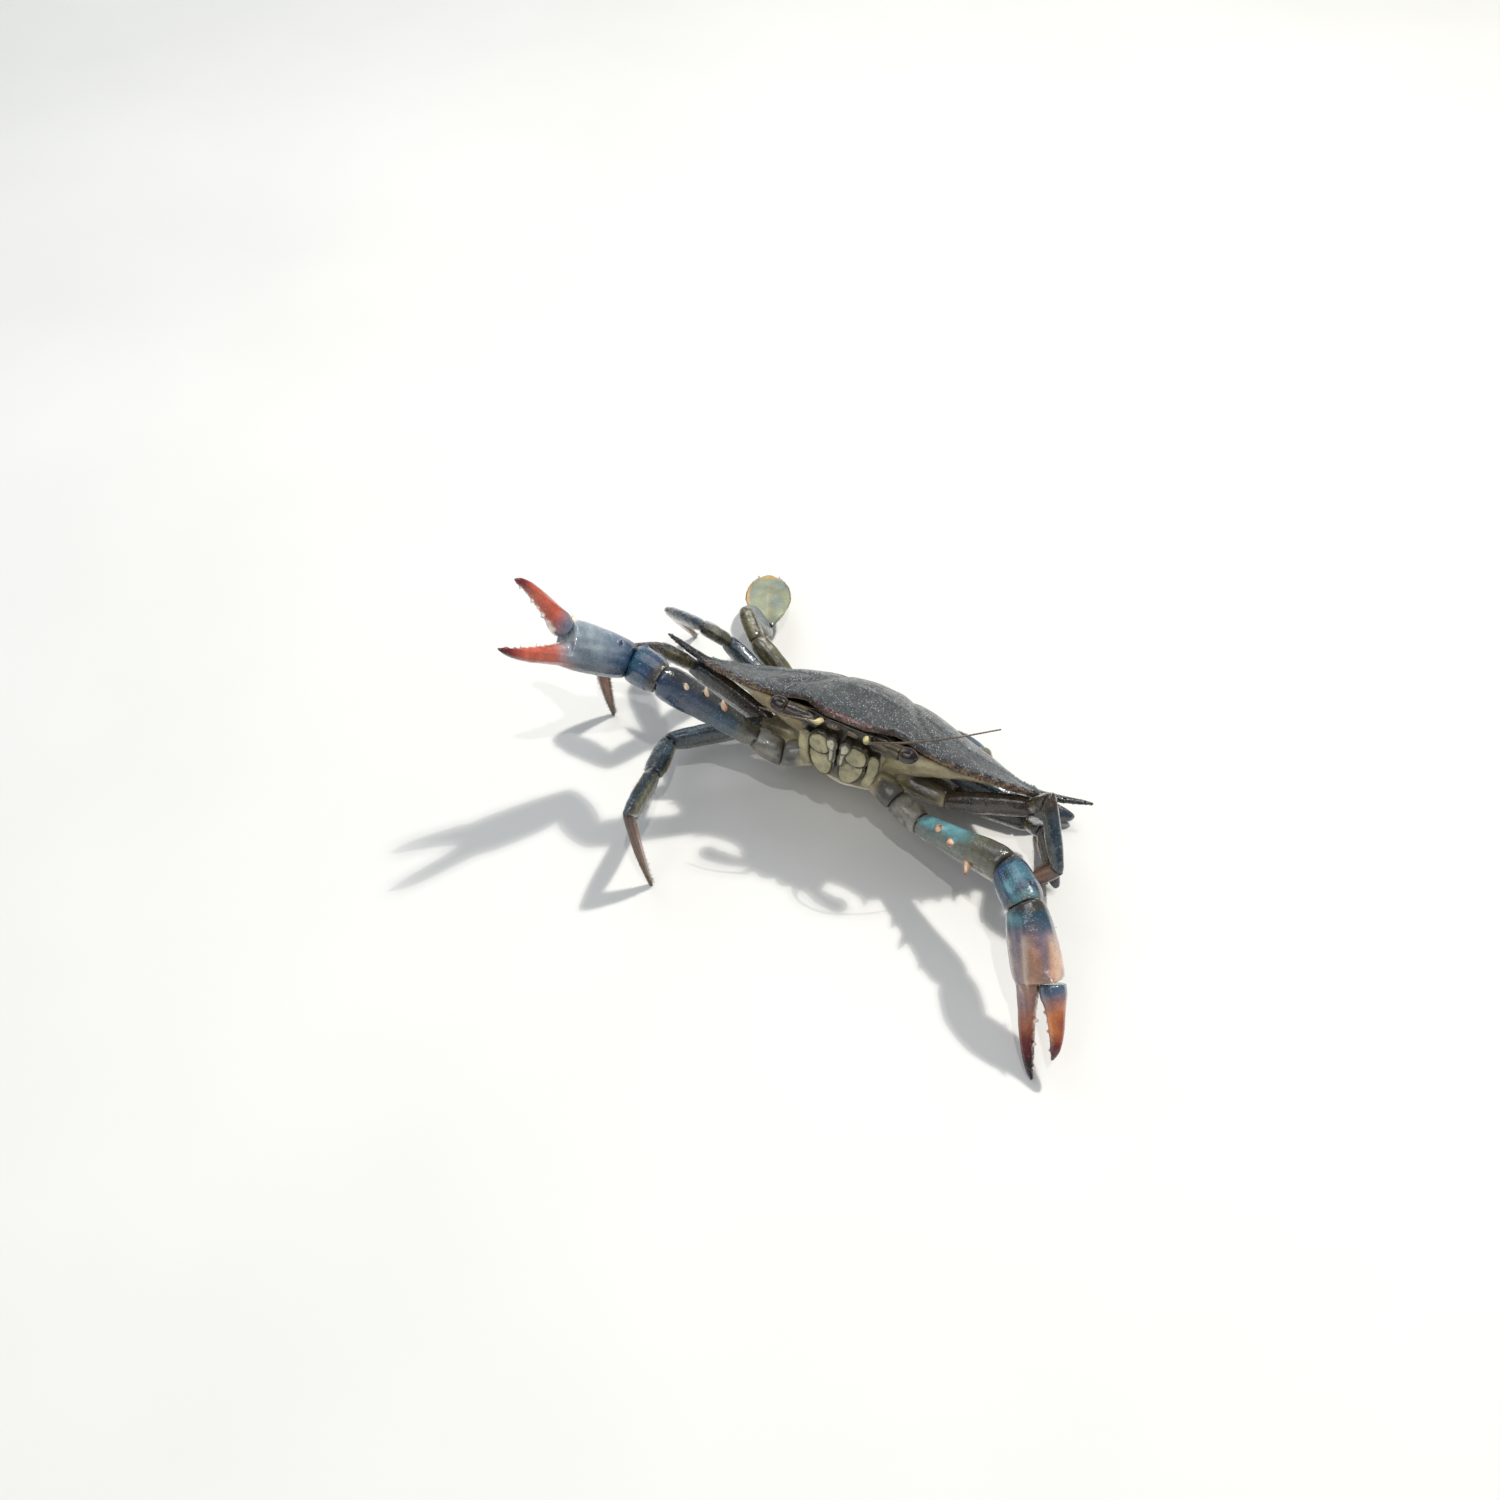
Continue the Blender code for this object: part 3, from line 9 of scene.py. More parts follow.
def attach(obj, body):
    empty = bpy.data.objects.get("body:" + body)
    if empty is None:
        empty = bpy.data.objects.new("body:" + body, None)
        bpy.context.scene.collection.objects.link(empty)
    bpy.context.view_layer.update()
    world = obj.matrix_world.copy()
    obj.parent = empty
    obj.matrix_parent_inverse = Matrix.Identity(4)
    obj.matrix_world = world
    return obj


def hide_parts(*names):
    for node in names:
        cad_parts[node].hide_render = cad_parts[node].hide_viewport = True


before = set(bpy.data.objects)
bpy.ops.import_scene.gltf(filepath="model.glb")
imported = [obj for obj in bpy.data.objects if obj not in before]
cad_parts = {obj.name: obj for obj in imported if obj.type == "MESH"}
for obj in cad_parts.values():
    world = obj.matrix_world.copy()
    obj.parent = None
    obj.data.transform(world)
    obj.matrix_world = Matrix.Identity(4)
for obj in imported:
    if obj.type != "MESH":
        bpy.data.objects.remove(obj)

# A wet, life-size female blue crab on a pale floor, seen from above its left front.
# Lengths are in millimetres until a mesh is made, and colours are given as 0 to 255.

MM = 0.001
UP = np.array([0.0, 0.0, 1.0])
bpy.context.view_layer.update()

# How the body is held, and the middle of the shell's rim.
FRONT_RAISED = 42.45
LEFT_LOWERED = 1.95
BODY_PLACE = np.array([1.61, 8.68, 32.3])

# The shell's margin, seen from above: distance from the middle, then its place on Y.
SHELL_HALF = 57.5
FRONT_MARGIN = (
    (0.0, -30.2), (8.5, -29.6), (11.5, -27.2), (17.0, -24.8), (22.0, -24.6),
    (25.5, -25.2), (29.0, -24.6), (38.0, -20.6), (47.0, -15.2), (53.0, -10.2), (57.5, -5.2),
)
REAR_MARGIN = (
    (0.0, 30.6), (15.0, 30.3), (22.0, 28.4), (29.0, 23.6), (38.0, 17.2), (48.0, 9.8), (57.5, 3.0),
)
# Ridges and furrows of the shell: the line each follows on one side, its height and its width.
SHELL_LINES = (
    (((57.0, -1.0), (47.0, -5.5), (37.0, -8.6), (28.0, -9.6), (19.0, -8.0)), 0.5, 0.8),
    (((0.0, -14.6), (7.0, -14.2), (12.5, -12.6)), 0.3, 0.7),
    (((26.0, -20.0), (18.0, -14.0), (13.0, -6.0), (10.5, 2.0), (11.0, 9.0)), -0.5, 1.5),
    (((11.0, 9.0), (9.0, 14.5), (10.5, 23.0)), -0.5, 1.3),
    (((0.0, 6.6), (7.0, 6.2), (10.5, 3.0)), -0.35, 1.1),
    (((31.0, -4.0), (30.0, 4.0), (24.0, 10.0)), -0.25, 1.6),
)

# Camera: fitted to the photograph's perspective.
CAMERA_PLACE = (0.12001, -0.30112, 0.3876)
VIEW_AZIMUTH = 27.71
VIEW_ELEVATION = 48.5
LENS = 36.0
SENSOR = 36.0
SUN_BEARING = 69.7
SUN_ELEVATION = 61.0


def rgb(red, green, blue):
    """A colour given as 0 to 255, in the linear values that shading uses."""
    share = np.array([red, green, blue]) / 255
    return np.where(share <= 0.04045, share / 12.92, ((share + 0.055) / 1.055) ** 2.4)


SLATE = rgb(43, 48, 50)
SLATE_DARK = rgb(22, 25, 27)
# SLATE_PALE also paints sheen and highlight on the shell's ridges and streaks.
SLATE_PALE = rgb(120, 128, 128)
OLIVE = rgb(54, 54, 45)
SPINE_DARK = rgb(24, 21, 21)
TOOTH_BROWN = rgb(122, 76, 50)
RIM_ORANGE = rgb(150, 92, 50)
FRONT_PINK = rgb(140, 82, 74)
CREAM = rgb(178, 166, 128)
BUFF = rgb(160, 140, 102)
CREAM_SHADE = rgb(104, 98, 82)
# MOUTH_DARK is near-black brown: painted shade in the mouth hollow, orbits, front band, claw hips, mouth
# seams and stalk wrinkles, and the own dark of the feelers' rings and the bristles.
MOUTH_DARK = rgb(40, 34, 24)
MOUTH_CREAM = rgb(158, 150, 110)
MOUTH_OLIVE = rgb(104, 98, 60)
APRON = rgb(214, 206, 184)
EYE = rgb(24, 14, 10)
STALK = rgb(84, 74, 50)
STALK_BROWN = rgb(52, 38, 30)
FEELER_PALE = rgb(196, 184, 134)
PALP_WHITE = rgb(190, 184, 160)
FEELER = rgb(86, 66, 40)
# The hips' whitish grey is painted darker as shade. HIP_BROWN is painted shade on the hips, and it is also
# the soft joints' own colour.
HIP_WHITE = rgb(128, 126, 118)
HIP_BROWN = rgb(52, 44, 36)
DEEP_BLUE = rgb(26, 52, 82)
TEAL = rgb(36, 74, 92)
TURQUOISE = rgb(92, 142, 150)
HIGHLIGHT_VIOLET = rgb(86, 84, 126)
STEEL = rgb(84, 104, 128)
STEEL_PALE = rgb(134, 146, 154)
GREY_VIOLET = rgb(118, 108, 122)
OLIVE_GREY = rgb(92, 90, 74)
ARM_BROWN = rgb(54, 50, 44)
THORN_ORANGE = rgb(226, 160, 116)
THORN_CREAM = rgb(236, 214, 184)
CORAL = rgb(178, 84, 64)
ORANGE = rgb(214, 126, 68)
MAROON = rgb(104, 26, 30)
TIP_BLACK = rgb(44, 16, 18)
TOOTH_WHITE = rgb(232, 224, 208)
PALM_BROWN = rgb(176, 128, 98)
LEG_BLUE = rgb(32, 44, 56)
LEG_TEAL = rgb(46, 70, 82)
LEG_BROWN = rgb(58, 46, 36)
LEG_OLIVE = rgb(112, 104, 66)
DACTYL_BROWN = rgb(134, 78, 42)
DACTYL_DARK = rgb(56, 30, 20)
PADDLE_GREEN = rgb(138, 142, 116)
PADDLE_RIM = rgb(200, 152, 72)
PADDLE_EDGE = rgb(46, 40, 30)
HAIR_BROWN = rgb(96, 74, 48)
HAIR_PALE = rgb(176, 156, 118)
FLOOR_GREY = rgb(214, 213, 209)
FLOOR_PALE = rgb(220, 219, 215)


def unit(vector):
    vector = np.asarray(vector, float)
    return vector / np.linalg.norm(vector)


def body_axes():
    turn = Matrix.Rotation(math.radians(LEFT_LOWERED), 3, "Y")
    return np.array(turn @ Matrix.Rotation(math.radians(-FRONT_RAISED), 3, "X"))


BODY_AXES = body_axes()


def of_body(points):
    """Places in the body's own axes: X to its left, Y to its rear, Z up from the rim."""
    return (points - BODY_PLACE) @ BODY_AXES


def step(value, low, high):
    """0 below low, 1 above high, and a smooth rise between them."""
    share = np.clip((value - low) / (high - low), 0, 1)
    return share * share * (3 - 2 * share)


def hill(value, middle, width):
    return np.exp(-(((value - middle) / width) ** 2))


def mixed(first, second, share):
    share = np.asarray(share)[:, None]
    return first * (1 - share) + second * share


def ramp(at, *stops):
    """Colours that run from stop to stop, each given as its place and its colour."""
    places = [place for place, _ in stops]
    colours = np.array([colour for _, colour in stops])
    return np.stack([np.interp(at, places, colours[:, k]) for k in range(3)], axis=1)


# Numbers that scatter whole numbers into shares without a pattern.
SCATTER = np.array([127.1, 311.7, 74.7])
SCATTER_SEED = 19.19
SCATTER_SIZE = 43758.5453


def drawn(cells, seed):
    """A number from 0 to 1 for each whole-numbered cell."""
    mixture = cells @ SCATTER + seed * SCATTER_SEED
    return np.modf(np.abs(np.sin(mixture)) * SCATTER_SIZE)[0]


def noise(points, size, seed):
    """Smooth noise from -1 to 1 with swells about this many millimetres apart."""
    place = points / size
    cell = np.floor(place)
    part = place - cell
    part = part * part * (3 - 2 * part)
    total = 0.0
    for corner in np.ndindex(2, 2, 2):
        share = np.prod(np.where(corner, part, 1 - part), axis=1)
        total = total + share * drawn(cell + corner, seed)
    return total * 2 - 1


def line_distance(places, path):
    """How far each place on a plane lies from a line of straight pieces."""
    path = np.asarray(path, float)
    nearest = np.full(len(places), np.inf)
    for start, end in zip(path[:-1], path[1:]):
        way = end - start
        share = np.clip((places - start) @ way / (way @ way), 0, 1)
        away = np.linalg.norm(places - start - share[:, None] * way, axis=1)
        nearest = np.minimum(nearest, away)
    return nearest


def rounded(outline, pieces=6):
    """A closed outline with smooth curves through its corners."""
    corners = np.asarray(outline, float)
    before, after = np.roll(corners, 1, axis=0), np.roll(corners, -1, axis=0)
    slopes = (after - before) / 2
    points = []
    for share in np.arange(pieces) / pieces:
        rise = 3 * share**2 - 2 * share**3
        bend = (share**3 - 2 * share**2 + share) * slopes
        bend = bend + (share**3 - share**2) * np.roll(slopes, -1, axis=0)
        points.append((1 - rise) * corners + rise * after + bend)
    return np.stack(points, axis=1).reshape(-1, 2)


def within(places, outline):
    """Whether each place on a plane lies within a closed outline."""
    found = np.zeros(len(places), bool)
    x, y = places.T
    for (x1, y1), (x2, y2) in zip(outline, np.roll(outline, -1, axis=0)):
        if y1 != y2:
            crossed = (y1 > y) != (y2 > y)
            found ^= crossed & (x < x1 + (y - y1) * (x2 - x1) / (y2 - y1))
    return found


def cad_points(node):
    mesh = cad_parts[node].data
    points = np.empty(len(mesh.vertices) * 3)
    mesh.vertices.foreach_get("co", points)
    return np.unique(np.round(points.reshape(-1, 3) / MM, 4), axis=0)


def facing(first, second, reach=0.75):
    """The points of one node that face its neighbour across their gap."""
    a, b = cad_points(first), cad_points(second)
    gaps = np.linalg.norm(a[:, None] - b[None], axis=2).min(axis=1)
    return a[gaps < max(reach, gaps.min() + 0.1)]


def joint(first, second):
    """The middle of the faces where two nodes meet."""
    found = np.vstack([facing(first, second), facing(second, first)])
    return (found.min(axis=0) + found.max(axis=0)) / 2


def tip_from(node, start):
    points = cad_points(node)
    return points[np.linalg.norm(points - start, axis=1).argmax()]


def build_mesh(name, points, faces):
    """A mesh in metres from points in millimetres and faces of one size each."""
    mesh = bpy.data.meshes.new(name)
    faces = [np.asarray(group) for group in faces]
    corners = np.concatenate([group.ravel() for group in faces])
    sizes = np.concatenate([np.full(len(group), group.shape[1]) for group in faces])
    mesh.vertices.add(len(points))
    mesh.vertices.foreach_set("co", (np.asarray(points) * MM).ravel())
    mesh.loops.add(len(corners))
    mesh.loops.foreach_set("vertex_index", corners)
    mesh.polygons.add(len(sizes))
    mesh.polygons.foreach_set("loop_start", np.concatenate([[0], np.cumsum(sizes)[:-1]]))
    mesh.update(calc_edges=True)
    mesh.validate()
    mesh.shade_smooth()
    return mesh


def show(name, mesh, material, tone, grain, nodes=()):
    """A piece with its colour and grain at each point. It stands for the nodes named."""
    made = bpy.data.objects.new(name, mesh)
    bpy.context.scene.collection.objects.link(made)
    colours = np.ones((len(mesh.vertices), 4))
    colours[:, :3] = tone
    mesh.color_attributes.new("tone", "FLOAT_COLOR", "POINT").data.foreach_set("color", colours.ravel())
    grains = np.broadcast_to(np.asarray(grain, float), len(mesh.vertices))
    mesh.attributes.new("grain", "FLOAT", "POINT").data.foreach_set("value", np.ascontiguousarray(grains))
    mesh.materials.append(material)
    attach(made, "root")
    if nodes:
        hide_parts(*nodes)


class Skin:
    """A dense even mesh over one node, in millimetres."""

    def __init__(self, node, voxel):
        self.node = node
        shape = bmesh.new()
        shape.from_mesh(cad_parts[node].data)
        bmesh.ops.remove_doubles(shape, verts=shape.verts, dist=1e-6)
        bmesh.ops.scale(shape, vec=(1 / MM,) * 3, verts=shape.verts)
        coarse = bpy.data.meshes.new("coarse")
        shape.to_mesh(coarse)
        shape.free()
        carrier = bpy.data.objects.new("coarse", coarse)
        bpy.context.scene.collection.objects.link(carrier)
        even = carrier.modifiers.new("even", "REMESH")
        even.mode = "VOXEL"
        even.voxel_size = voxel
        graph = bpy.context.evaluated_depsgraph_get()
        fine = carrier.evaluated_get(graph).to_mesh()
        self.points = np.empty(len(fine.vertices) * 3)
        fine.vertices.foreach_get("co", self.points)
        self.points = self.points.reshape(-1, 3)
        self.quads = np.empty(len(fine.loops), np.int32)
        fine.loops.foreach_get("vertex_index", self.quads)
        self.quads = self.quads.reshape(-1, 4)
        self.edges = np.empty(len(fine.edges) * 2, np.int32)
        fine.edges.foreach_get("vertices", self.edges)
        self.edges = self.edges.reshape(-1, 2)
        bpy.data.objects.remove(carrier, do_unlink=True)
        bpy.data.meshes.remove(coarse)

    def smooth(self, rounds, weight=1.0):
        """Rounds off what is narrower than about voxel times half the root of the rounds."""
        count = len(self.points)
        first, second = self.edges.T
        valence = np.bincount(self.edges.ravel(), minlength=count)
        pull = 0.5 * np.broadcast_to(weight, count)[:, None]
        for _ in range(rounds):
            near = np.empty_like(self.points)
            for k in range(3):
                column = self.points[:, k]
                near[:, k] = np.bincount(first, column[second], count)
                near[:, k] += np.bincount(second, column[first], count)
            self.points = self.points + pull * (near / valence[:, None] - self.points)

    def normals(self):
        corner = self.points[self.quads]
        face = np.cross(corner[:, 2] - corner[:, 0], corner[:, 3] - corner[:, 1])
        total = np.empty_like(self.points)
        for k in range(3):
            total[:, k] = np.bincount(self.quads.ravel(), np.repeat(face[:, k], 4), len(self.points))
        return total / np.maximum(np.linalg.norm(total, axis=1, keepdims=True), 1e-12)

    def push(self, amount):
        """Moves each point along its normal."""
        self.points = self.points + self.normals() * np.broadcast_to(amount, len(self.points))[:, None]

    def noise(self, size, seed):
        """Smooth noise from -1 to 1 at each point."""
        return noise(self.points, size, seed)

    def patches(self, size, seed, low, high):
        """Soft patches from 0 to 1, where the noise runs from low to high."""
        return step(self.noise(size, seed), low, high)

    def show(self, material, tone, grain):
        name = f"{self.node}_skin"
        mesh = build_mesh(name, self.points, [self.quads])
        show(name, mesh, material, tone, grain, [self.node])


class Link:
    """One link of a limb: its axes, and each point's share along it, radius and angle round it."""

    def __init__(self, skin, start, end, top):
        self.skin, self.start, self.end = skin, start, end
        self.length = np.linalg.norm(end - start)
        self.along = unit(end - start)
        self.top = unit(top - (top @ self.along) * self.along)
        self.across = np.cross(self.top, self.along)
        self.measure()

    def measure(self):
        way = self.skin.points - self.start
        self.share = way @ self.along / self.length
        self.height, self.side = way @ self.top, way @ self.across
        self.radius = np.hypot(self.height, self.side)
        self.angle = np.degrees(np.arctan2(self.side, self.height))

    def stands_out(self, low=1.28, high=1.5):
        """1 on thorns, which lie further from the axis than the link around them."""
        return step(self.radius / self.usual_radius(24, 60), low, high)

    def usual_radius(self, bins, percentile):
        """At each point, the radius that is usual at its share of the length."""
        place = np.clip((self.share * bins).astype(int), 0, bins - 1)
        found = []
        for number in range(bins):
            near = self.radius[place == number]
            found.append(np.percentile(near, percentile) if len(near) else 1.0)
        return np.interp(self.share * bins - 0.5, np.arange(bins), found)

    def ridges(self, angles, height, width=14.0, ends=(0.12, 0.9)):
        """Lengthwise ridges, or furrows where the height is below 0, at these angles."""
        window = step(self.share, ends[0] - 0.08, ends[0]) * (1 - step(self.share, ends[1], ends[1] + 0.08))
        total = 0.0
        for angle in angles:
            away = (self.angle - angle + 180) % 360 - 180
            total = total + hill(away, 0, width)
        return height * window * total


# Materials


DRAW = np.random.default_rng(7)


class Shader:
    """A short way to write a material's nodes."""

    def __init__(self, name):
        self.material = bpy.data.materials.new(name)
        self.material.use_nodes = True
        self.tree = self.material.node_tree
        self.surface = self.tree.nodes["Principled BSDF"]
        self.place = self.add("ShaderNodeTexCoord").outputs["Object"]

    def add(self, kind, inputs=None, **settings):
        node = self.tree.nodes.new(kind)
        for key, value in settings.items():
            setattr(node, key, value)
        for key, value in (inputs or {}).items():
            self.feed(node.inputs[key], value)
        return node

    def feed(self, socket, value):
        if isinstance(value, bpy.types.NodeSocket):
            self.tree.links.new(value, socket)
        else:
            socket.default_value = value

    def noise(self, scale, detail=3.0):
        inputs = {"Vector": self.place, "Scale": scale, "Detail": detail}
        return self.add("ShaderNodeTexNoise", inputs).outputs["Fac"]

    def cells(self, scale):
        return self.add("ShaderNodeTexVoronoi", {"Vector": self.place, "Scale": scale})

    def math(self, operation, first, second):
        return self.add("ShaderNodeMath", {0: first, 1: second}, operation=operation).outputs[0]

    def range(self, value, low, high, to_low=0.0, to_high=1.0):
        inputs = {"Value": value, "From Min": low, "From Max": high, "To Min": to_low, "To Max": to_high}
        return self.add("ShaderNodeMapRange", inputs).outputs["Result"]

    def mix(self, share, first, second, blend="MIX"):
        # The colour sockets go by number, because several sockets of this node share a name.
        node = self.add("ShaderNodeMix", data_type="RGBA", blend_type=blend)
        self.feed(node.inputs[0], share)
        self.feed(node.inputs[6], first)
        self.feed(node.inputs[7], second)
        return node.outputs[2]

    def attribute(self, name, output):
        return self.add("ShaderNodeAttribute", attribute_name=name).outputs[output]

    def finish(self, colour, roughness, height, bump_strength, bump_depth, coat, coat_roughness=0.05):
        inputs = {"Height": height, "Strength": bump_strength, "Distance": bump_depth * MM}
        bump = self.add("ShaderNodeBump", inputs).outputs["Normal"]
        for socket, value in (
            ("Base Color", colour), ("Roughness", roughness), ("Normal", bump),
            ("Coat Normal", bump), ("Coat Weight", coat), ("Coat Roughness", coat_roughness),
        ):
            self.feed(self.surface.inputs[socket], value)
        return self.material


def wet_shell(name, pale, granule, speckle, mottle, roughness, bump, depth, coat):
    """Wet shell: the piece's own tones, mottled, with raised granules of which some are pale.

    The granules' size and the bump's depth are in millimetres, the rest are factors.
    """
    shader = Shader(name)
    tone = shader.attribute("tone", "Color")
    grain = shader.attribute("grain", "Fac")
    patches = shader.range(shader.noise(260.0, 5.0), 0.32, 0.7)
    dark = shader.mix(1.0, tone, (1 - mottle, 1 - mottle, 1 - mottle * 0.9, 1.0), "MULTIPLY")
    light = shader.mix(1.0, tone, (1 + mottle * 0.6, 1 + mottle * 0.6, 1 + mottle * 0.5, 1.0), "MULTIPLY")
    colour = shader.mix(patches, dark, light)
    fine = shader.range(shader.noise(1900.0, 2.0), 0.35, 0.68)
    colour = shader.mix(fine, colour, shader.mix(1.0, colour, (1.22, 1.22, 1.2, 1.0), "MULTIPLY"))
    cells = shader.cells(1.0 / (granule * MM))
    dome = shader.range(cells.outputs["Distance"], 0.12, 0.48, 1.0, 0.0)
    small = shader.cells(1.9 / (granule * MM))
    small_dome = shader.range(small.outputs["Distance"], 0.1, 0.45, 1.0, 0.0)
    parts = shader.add("ShaderNodeSeparateColor", {"Color": cells.outputs["Color"]})
    chosen = shader.range(parts.outputs[0], 0.45, 0.9)
    spots = shader.math("MULTIPLY", shader.range(dome, 0.45, 0.9), chosen)
    spots = shader.math("MULTIPLY", spots, shader.math("MULTIPLY", grain, speckle))
    colour = shader.mix(spots, colour, (*pale, 1.0))
    height = shader.math("MULTIPLY", dome, grain)
    small_grain = shader.math("MULTIPLY", grain, 0.4)
    height = shader.math("ADD", height, shader.math("MULTIPLY", small_dome, small_grain))
    height = shader.math("ADD", height, shader.math("MULTIPLY", shader.noise(700.0), 0.5))
    uneven = shader.range(shader.noise(420.0, 4.0), 0.3, 0.7, roughness * 0.6, roughness * 1.5)
    return shader.finish(colour, uneven, height, bump, depth, coat)


def eye_surface():
    """A dark polished eye with very fine facets."""
    shader = Shader("eye_polished")
    cells = shader.cells(9000.0)
    tone = shader.attribute("tone", "Color")
    streak = shader.range(shader.noise(900.0, 4.0), 0.4, 0.75)
    colour = shader.mix(streak, tone, shader.mix(1.0, tone, (2.4, 1.9, 1.5, 1.0), "MULTIPLY"))
    return shader.finish(
        colour, roughness=0.2, height=cells.outputs["Distance"], bump_strength=0.15, bump_depth=0.05,
        coat=0.45, coat_roughness=0.03,
    )


def bristle_surface():
    shader = Shader("bristles")
    tone = shader.attribute("tone", "Color")
    streak = shader.range(shader.noise(3000.0, 2.0), 0.3, 0.7)
    colour = shader.mix(streak, shader.mix(1.0, tone, (0.6, 0.6, 0.6, 1.0), "MULTIPLY"), tone)
    return shader.finish(
        colour, roughness=0.5, height=shader.noise(5000.0), bump_strength=0.2, bump_depth=0.05,
        coat=0.1, coat_roughness=0.3,
    )


def floor_surface():
    shader = Shader("pale_floor")
    soft = shader.range(shader.noise(6.0, 3.0), 0.3, 0.7)
    colour = shader.mix(soft, (*FLOOR_GREY, 1.0), (*FLOOR_PALE, 1.0))
    return shader.finish(
        colour, roughness=0.75, height=shader.noise(900.0), bump_strength=0.05, bump_depth=0.1, coat=0.0,
    )


SHELL = wet_shell(
    "shell_granular", rgb(186, 200, 214), granule=0.6, speckle=1.7, mottle=0.3,
    roughness=0.34, bump=0.8, depth=0.22, coat=0.45,
)
CLAW = wet_shell(
    "claw_wet", rgb(196, 206, 212), granule=0.8, speckle=0.35, mottle=0.3,
    roughness=0.24, bump=0.45, depth=0.16, coat=0.8,
)
LEG = wet_shell(
    "leg_wet", rgb(150, 165, 175), granule=0.7, speckle=0.4, mottle=0.4,
    roughness=0.24, bump=0.5, depth=0.16, coat=0.9,
)
PALE = wet_shell(
    "underside_wet", rgb(226, 216, 190), granule=1.1, speckle=0.12, mottle=0.22,
    roughness=0.32, bump=0.35, depth=0.15, coat=0.5,
)
MOUTH = wet_shell(
    "mouth_wet", rgb(214, 206, 170), granule=0.9, speckle=0.15, mottle=0.3,
    roughness=0.26, bump=0.4, depth=0.15, coat=0.6,
)
DULL = wet_shell(
    "stalk_wet", rgb(150, 140, 120), granule=0.9, speckle=0.1, mottle=0.4,
    roughness=0.42, bump=0.5, depth=0.14, coat=0.12,
)
THIN = wet_shell(
    "paddle_wet", rgb(196, 190, 160), granule=0.8, speckle=0.2, mottle=0.25,
    roughness=0.3, bump=0.4, depth=0.12, coat=0.5,
)
PLAIN_EYE = eye_surface()
BRISTLES = bristle_surface()


# Shell and underside


def margin(table, x):
    rows = np.asarray(table, float)
    return np.interp(np.abs(x), rows[:, 0], rows[:, 1])


def dress_shell():
    """The domed shell: its furrows, ridges, rim, toothed edge and dark side spines."""
    skin = Skin("carapace", voxel=0.45)
    place = of_body(skin.points)
    x, y = np.abs(place[:, 0]), place[:, 1]
    inside = np.minimum(y - margin(FRONT_MARGIN, x), margin(REAR_MARGIN, x) - y)
    inside = np.minimum(inside, (SHELL_HALF - x) * 0.8)
    skin.smooth(6, 0.5)
    skin.smooth(150, step(inside, 1.5, 6.0))
    normals = skin.normals() @ BODY_AXES
    upper = step(normals[:, 2], 0.1, 0.6)
    relief = np.zeros(len(x))
    flat = np.column_stack([x, y])
    for path, height, width in SHELL_LINES:
        relief += height * hill(line_distance(flat, path), 0, width)
    from_front = y - margin(FRONT_MARGIN, x)
    from_rear = margin(REAR_MARGIN, x) - y
    relief += 0.35 * hill(from_rear, 1.0, 0.7) * step(50 - x, 0, 4) - 0.3 * hill(from_rear, 2.8, 0.9)
    relief += 0.12 * skin.noise(5.0, 3) + 0.07 * skin.noise(1.6, 4)
    skin.push(relief * upper * step(SHELL_HALF + 6 - x, 0, 6))
    place = of_body(skin.points)
    x, y = np.abs(place[:, 0]), place[:, 1]
    middle = hill(x, 0, 26) * hill(y, -4, 20)
    tone = mixed(SLATE, OLIVE, 0.45 * middle + 0.2 * skin.patches(11, 5, -0.2, 0.8))
    tone = mixed(tone, SLATE_DARK, 0.55 * step(y, 8, 30) + 0.3 * skin.patches(7, 6, 0.1, 0.9))
    ridge_share = np.zeros(len(x))
    for path, height, width in SHELL_LINES:
        away = line_distance(np.column_stack([x, y]), path)
        if height > 0:
            ridge_share = np.maximum(ridge_share, hill(away, 0, width))
        else:
            # Painted shade: the furrows are painted darker.
            tone = mixed(tone, SLATE_DARK, 0.35 * hill(away, 0, width))
    # Painted sheen and highlight: pale streaks across the middle of the shell, and the ridges painted paler,
    # partly for their pale granules and partly as highlight.
    sheen_streaks = step(noise(np.column_stack([x * 0.12, y * 1.5 + 0.35 * x, x * 0]), 1.6, 8), 0.3, 0.9)
    ridge_share = np.maximum(ridge_share * 0.7, 0.35 * sheen_streaks * hill(y, -3, 12) * step(x, 4, 14))
    tone = mixed(tone, SLATE_PALE, 0.9 * ridge_share)
    tooth_tips = 1 - step(from_front, -2.4, -0.2)
    very_edge = 1 - step(from_front, -0.9, 0.7)
    along_teeth = step(x, 26, 30) * step(62 - x, 0, 3)
    tone = mixed(tone, SLATE_DARK, 0.55 * (1 - step(from_front, 0.6, 4.0)))
    brown = tooth_tips * along_teeth * (0.5 + 0.5 * skin.patches(2.4, 9, -0.3, 0.5))
    tone = mixed(tone, TOOTH_BROWN, brown)
    tone = mixed(tone, FRONT_PINK, very_edge * step(13 - x, 0, 3) * 0.8)
    tone = mixed(tone, SPINE_DARK, 0.85 * step(x, 56, 63))
    tone = mixed(tone, CREAM_SHADE, 0.3 * step(x, 73, 75))
    under = 1 - step(normals[:, 2], -0.35, 0.1)
    orange = 0.7 * skin.patches(3.5, 10, -0.5, 0.4) * step(x, 24, 31)
    below = mixed(np.broadcast_to(BUFF, tone.shape), RIM_ORANGE, orange)
    # Painted shade: the underside below the front of the rim is painted dark brown.
    below = mixed(below, STALK_BROWN, 0.9 * (1 - step(from_front, 1.5, 3.5)) * (1 - 0.6 * step(x, 24, 31)))
    tone = mixed(tone, below, under * step(60 - x, 0, 6))
    bead_shell(skin, x, from_front, ridge_share, upper)
    grain = (1 - 0.85 * under) * (0.55 + 0.45 * skin.patches(9, 11, -0.5, 0.6))
    skin.show(SHELL, tone, grain * (1 - 0.5 * step(x, 58, 66)))


